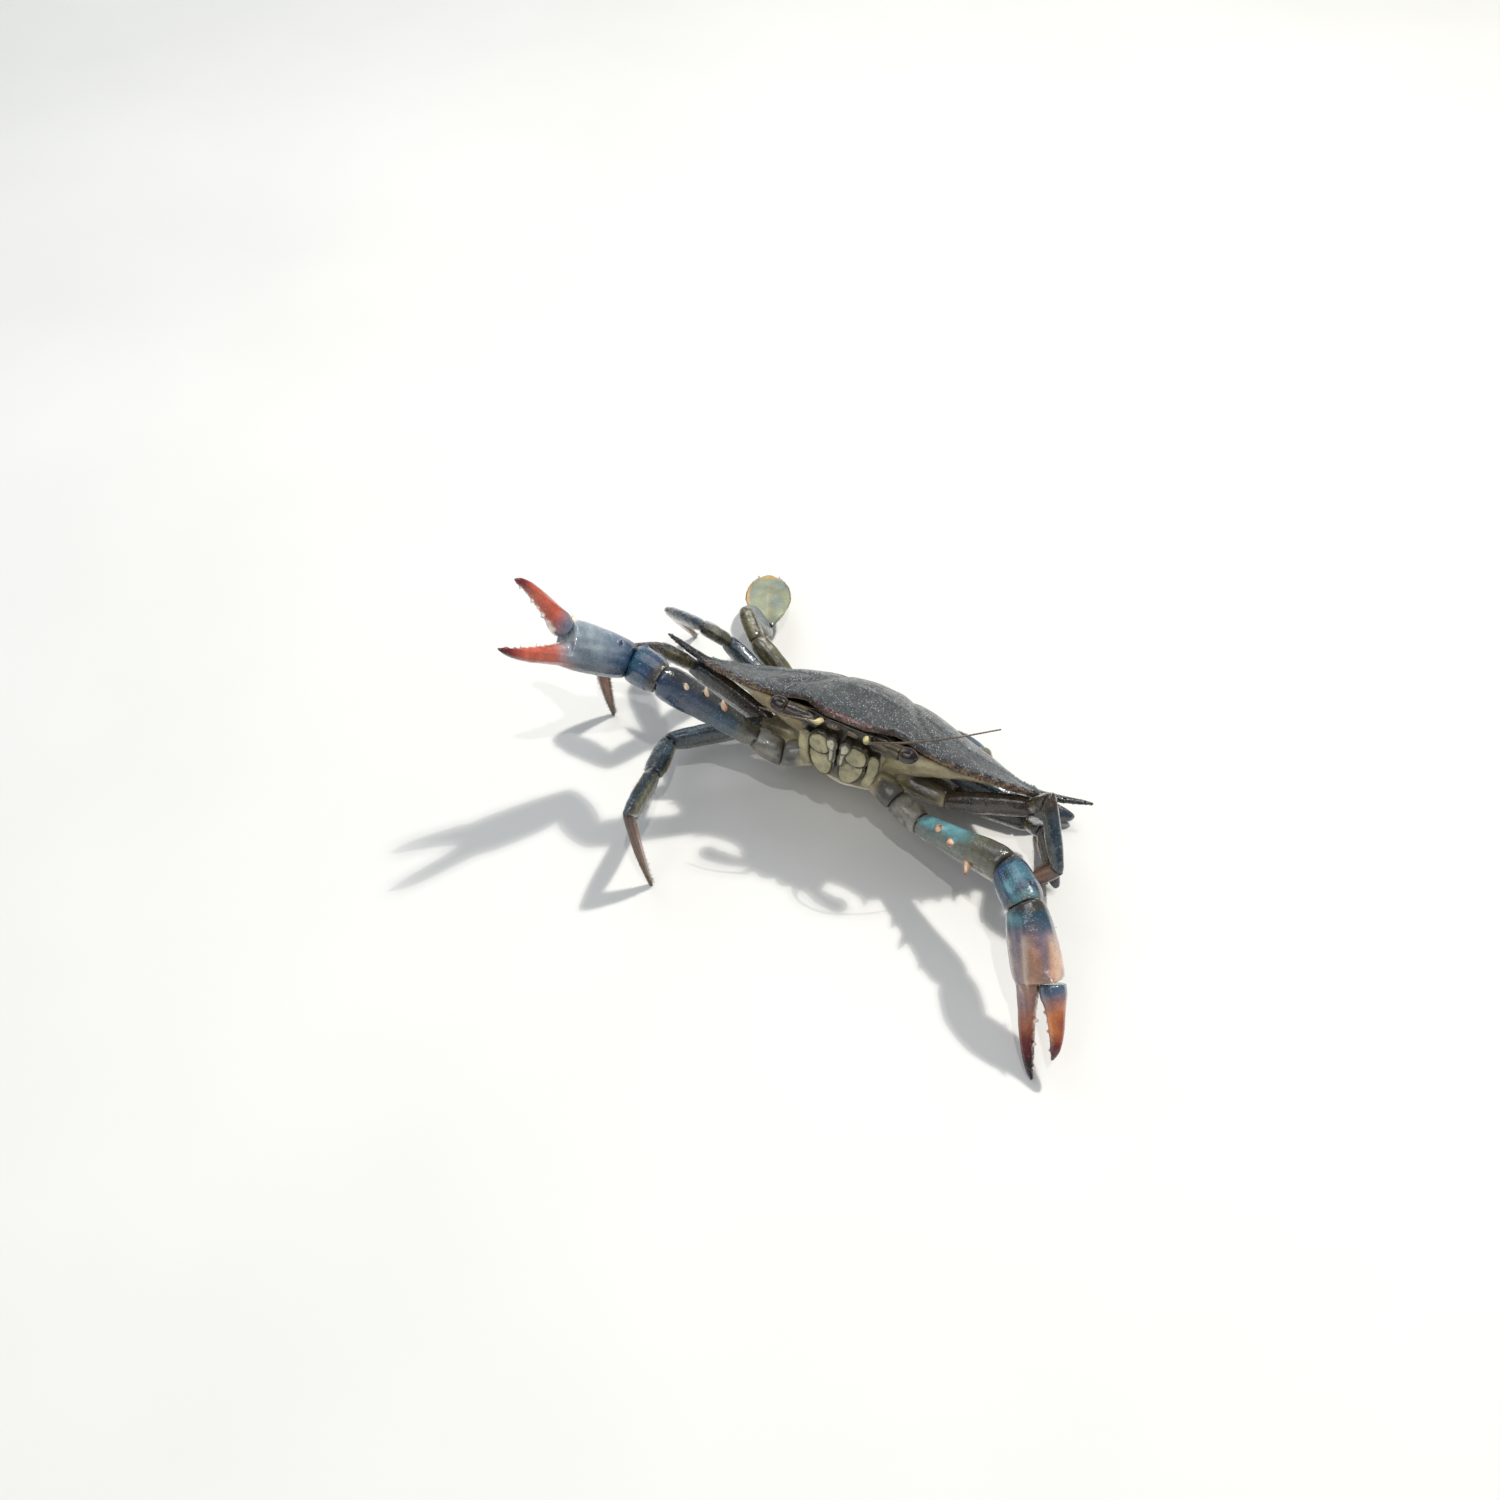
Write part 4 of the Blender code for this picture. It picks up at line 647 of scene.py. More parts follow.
def bead_shell(skin, x, from_front, ridge_share, upper):
    """Rows of granules along the toothed edge, the side spines and the cross ridge."""
    normals = skin.normals()
    level = (normals @ BODY_AXES)[:, 2]
    edge = (from_front < 0.8) & (np.abs(level) < 0.75)
    spine = (x > SHELL_HALF) & (np.abs(level) < 0.8)
    ridge = (ridge_share > 0.62) & (upper > 0.5)
    for name, chosen, spacing, radius, tone in (
        ("edge", edge & ~spine, 1.2, 0.24, TOOTH_BROWN * 0.4),
        ("spine", spine, 0.9, 0.28, SPINE_DARK * 1.4),
        ("ridge", ridge, 1.0, 0.22, SLATE_PALE * 0.8),
    ):
        places, ways = skin.points[chosen], normals[chosen]
        kept = thinned(places, spacing)
        shade = DRAW.uniform(0, 1, len(kept))
        tones = mixed(np.broadcast_to(tone * 0.45, (len(kept), 3)), tone, shade)
        add_beads(f"carapace_{name}_beads", places[kept], ways[kept], radius, tones, CLAW)


# The line that the eye stalk lies along in its orbit, seen from the front: across and up.
ORBIT_LINE = (9.6, -4.9), (28.0, -3.2)
# The seams across the belly and the apron: their places on Y at the middle.
UNDER_SEAMS = (-7.5, 1.0, 9.0, 16.5, 22.0)
APRON_SEAMS = (24.0, 19.5, 14.5, 9.0, 2.5)


def dress_under_body():
    """The cream underside with its seams, with painted shade in its hollows, on the hips and on faces under
    the shell.
    """
    skin = Skin("under_body", voxel=0.55)
    skin.smooth(10, 0.8)
    place = of_body(skin.points)
    x, y, z = np.abs(place[:, 0]), place[:, 1], place[:, 2]
    normals = skin.normals() @ BODY_AXES
    below = step(-normals[:, 2], 0.2, 0.7)
    seams = np.zeros(len(x))
    for seam_y in UNDER_SEAMS:
        seams += hill(y + 0.12 * x, seam_y, 0.7)
    skin.push(-0.45 * seams * below * step(x, 6, 10) * step(30 - x, 0, 6) + 0.1 * skin.noise(3, 12))
    tone = mixed(CREAM, BUFF, skin.patches(6, 13, -0.4, 0.7))
    tone = mixed(tone, CREAM_SHADE, 0.7 * seams.clip(0, 1) * below)
    tone = mixed(tone, CREAM_SHADE, 0.5 * skin.patches(4, 14, 0.1, 0.8))
    rim = step(z, -4.6, -2.6) * step(x, 16, 26)
    tone = mixed(tone, RIM_ORANGE, 0.6 * rim * skin.patches(4, 15, -0.5, 0.4))
    hollow = step(17 - x, 0, 2) * step(-17.5 - y, -1.5, 1.5) * step(-z, 3.2, 4.2)
    # Painted shade: the mouth hollow behind the plates, the orbits round the eye stalks and a band under the
    # front margin are painted near black.
    inner = step(13.4 - x, 0, 0.6) * step(-15.0 - y, 0, 3)
    tone = mixed(tone, MOUTH_DARK, inner * 0.92)
    from_stalk = line_distance(np.column_stack([x, z]), ORBIT_LINE)
    orbit_shade = step(3.6 - from_stalk, 0, 0.8) * step(-22 - y, 0, 2)
    tone = mixed(tone, MOUTH_DARK, 0.92 * orbit_shade)
    band = step(22 - x, 0, 3) * step(-23 - y, 0, 2) * step(z, -7.5, -5.5)
    tone = mixed(tone, MOUTH_DARK, 0.85 * band)
    tone = mixed(tone, MOUTH_OLIVE, 0.35 * hollow * (1 - inner))
    # Painted shade: the hips between the legs and below the claws are painted dark, and the left claw's hips
    # darkest.
    shaded_hips = step(x, 17, 22) * step(-z, 8.5, 11) * step(y, -12, -8)
    tone = mixed(tone, HIP_BROWN, 0.8 * shaded_hips * skin.patches(5, 34, -0.9, 0.1))
    shaded_claw_hips = step(x, 12, 15) * step(-z, 14.5, 16) * step(-8 - y, 0, 2)
    tone = mixed(tone, HIP_WHITE * 0.7, shaded_claw_hips)
    tone = mixed(tone, MOUTH_DARK, 0.6 * shaded_claw_hips * (place[:, 0] > 0))
    tone = mixed(tone, MOUTH_DARK, 0.7 * shaded_claw_hips * skin.patches(3.5, 35, 0.0, 0.5))
    # Painted shade: faces of the underside that turn up under the shell are painted darker.
    upper = step(normals[:, 2], 0.3, 0.8)
    tone = mixed(tone, CREAM_SHADE, 0.5 * upper * (1 - hollow))
    skin.show(PALE, tone, 0.6)


def dress_apron():
    skin = Skin("apron", voxel=0.4)
    skin.smooth(12, 0.8)
    place = of_body(skin.points)
    segments = np.zeros(len(place))
    for seam_y in APRON_SEAMS:
        segments += hill(place[:, 1] - 0.012 * place[:, 0] ** 2, seam_y, 0.5)
    skin.push(-0.35 * segments)
    tone = mixed(APRON, CREAM_SHADE, np.clip(0.75 * segments, 0, 1))
    tone = mixed(tone, GREY_VIOLET, 0.35 * skin.patches(7, 16, 0.0, 0.8))
    skin.show(PALE, tone, 0.5)


# Head


# The mouth plates' plane, and their outlines on one side: across from the middle, down the slope.
MOUTH_Y = -26.9
MOUTH_Z = -6.2
MOUTH_SLOPE = 55.2
MOUTH_OUTLINES = (
    (
        (1.0, 1.4), (2.2, 0.2), (3.8, 0.9), (3.7, 2.6), (2.7, 4.6), (2.5, 7.6), (1.7, 9.2),
        (0.95, 7.2), (1.1, 4.0),
    ),
    ((3.0, 6.3), (2.9, 2.6), (5.0, 0.6), (8.3, 0.8), (9.7, 3.0), (9.2, 6.0), (6.4, 7.4)),
    ((1.6, 8.8), (4.0, 7.1), (8.3, 6.8), (9.1, 8.6), (8.0, 12.2), (5.6, 15.2), (2.6, 15.4), (1.2, 12.6)),
)
MOUTH_SEAM = 0.3
PALP_JOINT = (0.9, 4.6), (4.2, 3.4)


def out_of_mouth():
    """The way that the mouth plates face, in the model's axes."""
    slope = math.radians(MOUTH_SLOPE)
    return BODY_AXES @ np.array([0.0, -math.sin(slope), -math.cos(slope)])


def on_mouth(points):
    """Places on the mouth plane: across from the middle, and down its slope."""
    place = of_body(points)
    slope = math.radians(MOUTH_SLOPE)
    down = (place[:, 1] - MOUTH_Y) * math.cos(slope) - (place[:, 2] - MOUTH_Z) * math.sin(slope)
    return np.column_stack([np.abs(place[:, 0]), down])


def dress_mouth():
    """Pillowy cream and olive plates with bristly seams and pale palps, with painted shade in the seams and
    on the plates' sides.
    """
    out = out_of_mouth()
    outlines = [rounded(outline) for outline in MOUTH_OUTLINES]
    for side in ("right", "left"):
        for part in ("plate", "bar"):
            skin = Skin(f"mouth_{part}_{side}", voxel=0.17)
            skin.smooth(12)
            flat = on_mouth(skin.points)
            seam, free = np.zeros(len(flat)), np.ones(len(flat), bool)
            palp = within(flat, outlines[0])
            if part == "plate":
                for outline in outlines:
                    away = line_distance(flat, np.vstack([outline, outline[:1]]))
                    seam = np.maximum(seam, free * hill(away, 0, MOUTH_SEAM))
                    free &= ~within(flat, outline)
                seam = np.maximum(seam, palp * hill(line_distance(flat, PALP_JOINT), 0, MOUTH_SEAM))
            face = step(skin.normals() @ out, 0.2, 0.6)
            skin.push(0.55 - 0.65 * seam * face + 0.06 * skin.noise(1.6, 36))
            tone = mixed(MOUTH_CREAM, MOUTH_OLIVE, skin.patches(3.4, 17, -0.4, 0.8) * 0.8)
            tone = mixed(tone, MOUTH_OLIVE * 0.8, 0.5 * skin.patches(1.1, 37, 0.2, 0.9))
            tone = mixed(tone, PALP_WHITE, 0.8 * palp * (part == "plate"))
            tone = mixed(tone, STALK_BROWN, 0.5 * skin.patches(1.5, 18, 0.3, 0.9))
            # Painted shade: the seams and the plates' sides that turn away from the front are painted near
            # black.
            dark = np.maximum(seam, 1 - step(skin.normals() @ out, 0.1, 0.4))
            skin.show(MOUTH, mixed(tone, MOUTH_DARK * 0.7, 0.95 * dark), 0.5)
    bristle_mouth(outlines, out)


def bristle_mouth(outlines, out):
    """Short brown bristles that stand along the inner and lower edges of the mouth plates."""
    slope = math.radians(MOUTH_SLOPE)
    for side, sign in (("right", -1), ("left", 1)):
        roots, ways = [], []
        for outline, level in zip(outlines[1:], (2.3, 1.9)):
            middle, after = outline.mean(axis=0), np.roll(outline, -1, axis=0)
            dense = np.vstack([outline * (1 - k / 5) + after * k / 5 for k in range(5)])
            for place in middle + (dense - middle) * 0.93:
                across, down = place + DRAW.normal(0, 0.1, 2)
                y = MOUTH_Y + down * math.cos(slope) - level * math.sin(slope)
                z = MOUTH_Z - down * math.sin(slope) - level * math.cos(slope)
                roots.append(BODY_AXES @ np.array([sign * across, y, z]) + BODY_PLACE)
                to_side, to_rear = place - middle
                lean = np.array([sign * to_side, to_rear * 0.57, to_rear * -0.82])
                ways.append(out * 0.8 + BODY_AXES @ unit(lean) + DRAW.normal(0, 0.2, 3))
        count = len(roots)
        tone = mixed(np.broadcast_to(MOUTH_DARK, (count, 3)), HAIR_BROWN, DRAW.uniform(0, 1, count))
        cells = np.column_stack([np.arange(count) / count * 0.9 + 0.05, np.full(count, 0.5)])
        tuft_piece(
            f"mouth_{side}_bristles", np.array(roots), np.array(ways),
            DRAW.uniform(0.5, 1.0, count), np.full(count, 0.06), tone, cells,
        )


def dress_eyes():
    """Dark, wrinkled stalks with painted shade in their wrinkles, and glossy brown eyes."""
    for side, stalk_tone in (("right", STALK_BROWN), ("left", STALK)):
        stalk = Skin(f"eye_stalk_{side}", voxel=0.2)
        stalk.smooth(8)
        place = of_body(stalk.points)
        wrinkles = 0.5 + 0.5 * np.cos(place[:, 2] * 4.2 + 1.2 * stalk.noise(2.4, 38))
        stalk.push(0.3 * wrinkles - 0.05 + 0.12 * stalk.noise(1.2, 19))
        tone = mixed(stalk_tone, MOUTH_DARK, stalk.patches(1.8, 20, -0.2, 0.7) * 0.7)
        # Painted shade: the troughs between the wrinkles are painted darker.
        stalk.show(DULL, mixed(tone, MOUTH_DARK * 0.6, 0.8 * (1 - wrinkles)), 0.6)
        eye = Skin(f"eye_{side}", voxel=0.18)
        eye.smooth(10)
        eye.push(0.12)
        neck = joint(f"eye_stalk_{side}", f"eye_{side}")
        near = 1 - step(np.linalg.norm(eye.points - neck, axis=1), 1.8, 2.8)
        tone = np.broadcast_to(EYE, eye.points.shape)
        eye.show(PLAIN_EYE, mixed(tone, stalk_tone * 0.7, near), 0.0)


def dress_feelers():
    for side in ("right", "left"):
        for part in ("antenna", "antennule"):
            skin = Skin(f"{part}_{side}", voxel=0.14)
            skin.smooth(3)
            start = joint("under_body", f"{part}_{side}")
            away = np.linalg.norm(skin.points - start, axis=1)
            rings = 0.5 + 0.5 * np.cos(away * 2 * math.pi / 0.9)
            skin.push(0.05 * rings)
            tone = mixed(FEELER, MOUTH_DARK, 0.6 * rings)
            if part == "antenna":
                tone = mixed(tone, FEELER_PALE, 1 - step(away, 2.6, 5.0))
            skin.show(MOUTH, tone, 0.2)


# Claws


def claw_frame(side):
    """Joint places of a claw and the way its moving finger lies from the fixed one."""
    names = [f"claw_{side}_{part}" for part in ("base", "merus", "carpus", "palm", "finger")]
    places = [joint("under_body", names[0])]
    places += [joint(first, second) for first, second in zip(names[:-1], names[1:])]
    fixed_tip = tip_from(names[3], places[3])
    moving_tip = tip_from(names[4], places[4])
    top = moving_tip - fixed_tip
    return names, places, fixed_tip, moving_tip, top


def dress_claw_base(names, places):
    skin = Skin(names[0], voxel=0.4)
    skin.smooth(10, 0.8)
    skin.push(0.15 + 0.1 * skin.noise(2.5, 21))
    tone = mixed(HIP_WHITE, CREAM_SHADE, skin.patches(3, 22, -0.3, 0.8) * 0.8)
    tone = mixed(tone, HIP_BROWN, 0.6 * skin.patches(1.8, 39, 0.15, 0.7))
    from_root = np.linalg.norm(skin.points - places[0], axis=1)
    # Painted shade: near its root, where it meets the body, the base is painted near black.
    tone = mixed(tone, MOUTH_DARK, 0.8 * (1 - step(from_root, 3.6, 5.2)))
    skin.show(PALE, tone, 0.5)


def dress_merus(side, names, places):
    """The arm, with three cream and orange thorns on its front edge."""
    skin = Skin(names[1], voxel=0.38)
    link = Link(skin, places[1], places[2], UP)
    thorn = link.stands_out()
    skin.smooth(14, 1 - 0.93 * thorn)
    link.measure()
    skin.push(0.12 + link.ridges((-75, 75), 0.3) * (1 - thorn) + 0.08 * skin.noise(2.0, 23))
    blotch = skin.patches(5, 24, -0.3, 0.7)
    if side == "right":
        tone = ramp(link.share, (0, HIP_WHITE), (0.14, OLIVE_GREY), (0.3, TEAL), (0.7, DEEP_BLUE))
        tone = mixed(tone, ARM_BROWN, step(skin.normals() @ unit((0.3, 0.6, 0.6)), -0.1, 0.7) * 0.8)
    else:
        stops = (0, HIP_WHITE), (0.1, TURQUOISE), (0.5, TURQUOISE), (0.72, OLIVE_GREY), (1, ARM_BROWN)
        tone = ramp(link.share, *stops)
        lower = 1 - step(skin.normals() @ unit((0.35, 0.5, 0.8)), -0.25, 0.35)
        tone = mixed(tone, OLIVE_GREY, lower * 0.8)
    tone = mixed(tone, tone * 0.55, blotch * 0.5)
    root = ramp(step(thorn, 0.2, 1.0), (0, THORN_ORANGE * 0.6), (0.5, THORN_ORANGE), (1, THORN_CREAM))
    skin.show(CLAW, mixed(tone, root, thorn), 0.7 * (1 - thorn))
    thorns = []
    for share, reach, way in ARM_THORNS[side]:
        toward = unit(np.array(way) - (link.along @ way) * link.along)
        root = link.start + link.along * link.length * share + toward * 3.6
        thorns.append((root, root + toward * (reach + 1.2) + link.along * 2.9, 1.35))
    colours = THORN_COLOURS if side == "left" else THORN_COLOURS[:3]
    add_thorns(f"claw_{side}_arm_thorns", thorns, colours)


# Thorns of the arm: share of the length, reach, and the way each one points.
ARM_THORNS = {
    "right": (
        (0.42, 2.6, (0.35, 0.0, 0.94)), (0.61, 3.2, (0.34, 0.04, 0.94)), (0.8, 3.8, (0.34, -0.3, 0.89)),
    ),
    "left": (
        (0.28, 2.6, (0.32, -0.41, 0.85)), (0.46, 3.2, (0.29, -0.72, 0.64)), (0.67, 3.8, (0.1, -0.99, 0.02)),
    ),
}


def dress_carpus(side, names, places):
    skin = Skin(names[2], voxel=0.36)
    top = UP if side == "right" else np.array([0.83, 0.05, 0.56])
    link = Link(skin, places[2], places[3], top)
    thorn = link.stands_out(1.3, 1.55)
    skin.smooth(12, 1 - 0.9 * thorn)
    link.measure()
    skin.push(0.15 + link.ridges((-110, -50, 50, 110), 0.3, 12, (0.2, 0.85)) * (1 - thorn))
    tone = ramp(link.share, (0, ARM_BROWN), (0.16, DEEP_BLUE), (0.6, TEAL), (0.85, DEEP_BLUE), (1, ARM_BROWN))
    # Painted highlight: faces turned up and toward the front are painted violet on the right claw and
    # turquoise on the left.
    highlit_faces = step(skin.normals() @ unit((0.2, -0.5, 0.9)), 0.35, 0.95)
    highlight_tone = TURQUOISE if side == "left" else HIGHLIGHT_VIOLET
    tone = mixed(tone, highlight_tone, 0.55 * highlit_faces * skin.patches(3.2, 25, -0.3, 0.5))
    tone = mixed(tone, SLATE_DARK, 0.5 * skin.patches(3.4, 26, 0.1, 0.8))
    skin.show(CLAW, mixed(tone, THORN_ORANGE, thorn * 0.9), 0.7 * (1 - thorn))


PALM_RIDGE = 0.3
PALM_OUTER = (0.31, -0.59, 0.75)  # the way the left palm's outer face looks


def dress_palm(side, names, places, fixed_tip, top):
    """The palm with its lengthwise ridges, going to orange on the fixed finger with its pale teeth."""
    skin = Skin(names[3], voxel=0.38)
    link = Link(skin, places[3], fixed_tip, top)
    hinge = (places[4] - places[3]) @ link.along / link.length
    on_finger = step(link.share, hinge, hinge + 0.06)
    tooth = on_finger * step(link.height - biting_edge(link, hinge, 1), 0.1, 0.6)
    thorn = (1 - on_finger) * link_thorn(link, hinge)
    skin.smooth(12, 1 - 0.85 * np.maximum(tooth, thorn))
    link.measure()
    ridge_height = PALM_RIDGE * (0.35 if side == "right" else 1.0)
    ridges = link.ridges((-122, -62, 0, 62, 122), ridge_height, 9.0, (0.1, hinge - 0.04))
    finger_ridges = link.ridges((-150, -100, 100, 150), 0.22, 12.0, (hinge + 0.05, 0.95))
    skin.push(0.12 + ridges * (1 - thorn) + finger_ridges * (1 - tooth) + 0.06 * skin.noise(1.8, 27))
    at = link.share / hinge
    faces = skin.normals()
    blotch = skin.patches(5, 28, -0.4, 0.7)
    if side == "right":
        tone = ramp(at, (0, DEEP_BLUE), (0.14, DEEP_BLUE), (0.36, STEEL), (0.7, STEEL_PALE), (1, STEEL_PALE))
        low = 1 - step(faces @ unit(top), -0.6, 0.3)
        tone = mixed(tone, DEEP_BLUE, 0.85 * low * (1 - step(at, 0.95, 1.15)))
        tone = mixed(tone, STEEL_PALE, 0.4 * blotch * step(at, 0.2, 0.5))
        red = ramp(link.share, (hinge, CORAL), (0.8, CORAL), (0.92, MAROON), (1, TIP_BLACK))
        tone = mixed(tone, red, step(at + 0.25 * step(-link.height, 0, 6), 1.0, 1.35))
    else:
        outer = unit(PALM_OUTER)
        sideways = unit(np.cross(link.along, outer))
        across = skin.points @ sideways - link.start @ sideways
        stops = (0, ARM_BROWN), (0.06, TEAL * 0.7), (0.2, STEEL * 0.5), (0.36, GREY_VIOLET * 0.9)
        tone = ramp(at, *stops, (1.1, GREY_VIOLET))
        ragged = skin.noise(2.6, 40)
        band = hill(across + 0.9 * ragged, -0.4, 1.4 + 2.2 * np.clip(at, 0, 1))
        band = band * step(at + 0.1 * ragged, 0.1, 0.6) * (1 - step(at + 0.05 * ragged, 0.8, 1.6))
        tone = mixed(tone, PALM_BROWN, 0.9 * band)
        edge = step(np.abs(across), 3.8, 5.6) * step(faces @ outer, -0.4, 0.2)
        tone = mixed(tone, THORN_ORANGE, 0.55 * edge * step(at, 0.2, 0.6) * step(-across, -2, 2))
        tone = mixed(tone, TURQUOISE, hill(at, 0.13, 0.07) * step(across, 0.5, 3.5) * 0.8)
        stops = (hinge, GREY_VIOLET), (0.62, ORANGE * 0.75), (0.78, MAROON), (0.9, TIP_BLACK)
        red = ramp(link.share, *stops)
        tone = mixed(tone, red, step(at, 1.0, 1.6))
    tone = mixed(tone, tone * 0.7, 0.3 * blotch)
    pale = np.clip(ridges / PALM_RIDGE, 0, 1) * step(at, 0.25, 0.4) * (0.14 if side == "right" else 0.4)
    tone = mixed(tone, THORN_CREAM, pale)
    tone = mixed(tone, TOOTH_WHITE, tooth * (1 - step(link.share, 0.95, 1.0)))
    tone = mixed(tone, THORN_CREAM, thorn)
    skin.show(CLAW, tone, 0.5 * (1 - tooth))


def biting_edge(link, start, sign):
    """The height of a finger's biting edge between its teeth, at each point's share."""
    shares = np.linspace(start, 1, 34)
    half = shares[1] - shares[0]
    tops = []
    for share in shares:
        near = np.abs(link.share - share) < half
        tops.append(np.percentile(sign * link.height[near], 95) if near.any() else 0.0)
    lowest = [min(tops[max(k - 2, 0) : k + 3]) for k in range(len(tops))]
    return sign * np.interp(link.share, shares, lowest)


def link_thorn(link, hinge):
    """1 on the palm's thorns."""
    past_usual = link.radius - link.usual_radius(20, 70)
    return step(past_usual, 1.6, 2.6) * (1 - step(link.share, hinge - 0.01, hinge))


def dress_finger(side, names, places, moving_tip, top):
    """The moving finger: bluish at the hinge, coral or orange, with a maroon tip and pale teeth."""
    skin = Skin(names[4], voxel=0.33)
    link = Link(skin, places[4], moving_tip, top)
    tooth = step(biting_edge(link, 0.1, -1) - link.height, 0.1, 0.6) * step(link.share, 0.12, 0.18)
    skin.smooth(10, 1 - 0.85 * tooth)
    link.measure()
    ridges = link.ridges((-60, 0, 60), 0.25, 14.0, (0.15, 0.9))
    skin.push(0.1 + ridges * (1 - tooth) + 0.05 * skin.noise(1.6, 29))
    if side == "right":
        tone = ramp(link.share, (0, STEEL), (0.12, GREY_VIOLET), (0.3, CORAL), (0.7, CORAL), (0.86, MAROON))
    else:
        stops = (0, STEEL * 0.6), (0.06, STEEL * 0.7), (0.4, ORANGE * 0.85), (0.62, ORANGE * 0.85)
        tone = ramp(link.share, *stops, (0.8, MAROON), (1, TIP_BLACK))
        tone = mixed(tone, MAROON, 0.55 * hill(link.angle, 0, 26) * step(link.share, 0.3, 0.45))
    tone = mixed(tone, tone * 0.6, 0.4 * skin.patches(4, 30, -0.2, 0.8))
    tone = mixed(tone, TOOTH_WHITE, tooth * (1 - step(link.share, 0.93, 0.98)))
    skin.show(CLAW, tone, 0.5 * (1 - tooth))


def dress_claw(side):
    names, places, fixed_tip, moving_tip, top = claw_frame(side)
    dress_claw_base(names, places)
    dress_merus(side, names, places)
    dress_carpus(side, names, places)
    dress_palm(side, names, places, fixed_tip, top)
    dress_finger(side, names, places, moving_tip, top)
    for k, pair in enumerate(zip(names[:-1], names[1:])):
        dress_joint(*pair, HIP_BROWN if k == 0 else THORN_CREAM * 0.22, 0.95 if k < 3 else 0.5)


# Legs


def leg_frame(name):
    last = "paddle" if name.endswith("5") else "dactyl"
    names = [f"leg_{name}_{part}" for part in ("merus", "carpus", "propodus", last)]
    places = [joint("under_body", names[0])]
    places += [joint(first, second) for first, second in zip(names[:-1], names[1:])]
    places.append(tip_from(names[3], places[3]))
    return names, places


def flat_way(points):
    """The way in which these points spread least."""
    return np.linalg.eigh(np.cov(points.T))[1][:, 0]


def leg_tone(name, k, link, skin):
    """Olive swimming legs and brown to dark blue walking legs, all olive on the inner side."""
    faces = skin.normals()
    if name.endswith("5"):
        stops = (0, LEG_OLIVE * 0.5), (1, LEG_OLIVE * 0.6)
    elif name.endswith("3"):
        stops = (0, LEG_BROWN), (0.5, LEG_BROWN), (1, LEG_BLUE)
    elif name == "left_2" and k == 2:
        stops = (0, LEG_BROWN), (0.3, LEG_TEAL * 0.7)
    elif name == "left_2":
        stops = ((0, LEG_BROWN),)
    else:
        stops = (0, LEG_BLUE), (0.5, LEG_TEAL * 0.7), (1, LEG_BLUE)
    tone = ramp(link.share, *stops)
    inner = step(faces @ unit((-np.sign(link.start[0]), 0.2, -0.5)), 0.1, 0.8)
    tone = mixed(tone, LEG_OLIVE, 0.6 * inner)
    return mixed(tone, SLATE_DARK, 0.55 * skin.patches(2.8, 31, 0.0, 0.8))


def dress_leg(name):
    names, places = leg_frame(name)
    swims = name.endswith("5")
    for k in range(3):
        skin = Skin(names[k], voxel=0.36 if k < 2 else 0.34)
        link = Link(skin, places[k], places[k + 1], flat_way(skin.points))
        skin.smooth(12)
        link.measure()
        furrows = link.ridges((-35, 35, 145, -145), -0.22, 16.0, (0.18, 0.85))
        skin.push(0.15 + furrows + 0.07 * skin.noise(1.7, 32))
        tone = leg_tone(name, k, link, skin)
        if swims and k == 2:
            tone = mixed(tone, STEEL * 0.75, 0.85 * (1 - step(np.abs(link.side), 2.4, 4.2)))
            tone = mixed(tone, PADDLE_EDGE, 0.85 * step(np.abs(link.side), 3.4, 4.6))
        skin.show(LEG, tone, 0.8)
        dress_joint(names[k], names[k + 1], HIP_BROWN, 0.9)
    dress_joint("under_body", names[0], HIP_BROWN, 0.8)
    if swims:
        dress_paddle(names[3], places)
    else:
        dress_dactyl(names[3], places)
    bristle_leg(name, names, places)


def dress_dactyl(node, places):
    """A grooved, flattened claw-like tip, dark along its edge."""
    skin = Skin(node, voxel=0.28)
    link = Link(skin, places[3], places[4], flat_way(skin.points))
    skin.smooth(8, 0.8)
    link.measure()
    skin.push(0.1 + link.ridges((0, 180), -0.25, 28.0, (0.12, 0.8)))
    skin.points[:, 2] = np.maximum(skin.points[:, 2], 0.0)
    stops = (0, LEG_BROWN), (0.15, DACTYL_BROWN * 0.8), (0.6, DACTYL_BROWN), (0.9, DACTYL_DARK)
    tone = ramp(link.share, *stops)
    edge = step(np.abs(link.side) / np.maximum(2.4 * (1.1 - link.share), 0.5), 0.55, 0.95)
    tone = mixed(tone, DACTYL_DARK, 0.7 * edge)
    skin.show(LEG, tone, 0.4)


def dress_paddle(node, places):
    """The thin oval paddle with its midrib, yellow rim and fine dark edge."""
    skin = Skin(node, voxel=0.3)
    link = Link(skin, places[3], places[4], flat_way(skin.points))
    skin.smooth(6, 0.8)
    link.measure()
    shares = np.linspace(0, 1, 16)
    halves = [np.abs(link.side[np.abs(link.share - s) < 0.05]).max() for s in shares]
    out = np.abs(link.side) / np.interp(link.share, shares, halves)
    rib = hill(link.side, 0, 0.8) * (1 - step(link.share, 0.75, 0.95))
    skin.push(0.05 + 0.1 * rib + 0.05 * step(out, 0.86, 0.93))
    tone = mixed(PADDLE_GREEN, STEEL * 0.8, 0.5 * skin.patches(5, 33, -0.3, 0.8))
    tone = mixed(tone, LEG_BLUE, 0.7 * (1 - step(link.share, 0.0, 0.2)))
    rim = np.maximum(step(out, 0.76, 0.94), step(link.share, 0.87, 0.96)) * step(link.share, 0.15, 0.4)
    tone = mixed(tone, PADDLE_RIM, 0.7 * rim)
    tone = mixed(tone, PADDLE_EDGE, 0.9 * np.maximum(step(out, 0.95, 1.0), step(link.share, 0.975, 0.998)))
    tone = mixed(tone, PADDLE_RIM, 0.1 * rib)
    skin.show(THIN, tone, 0.4)


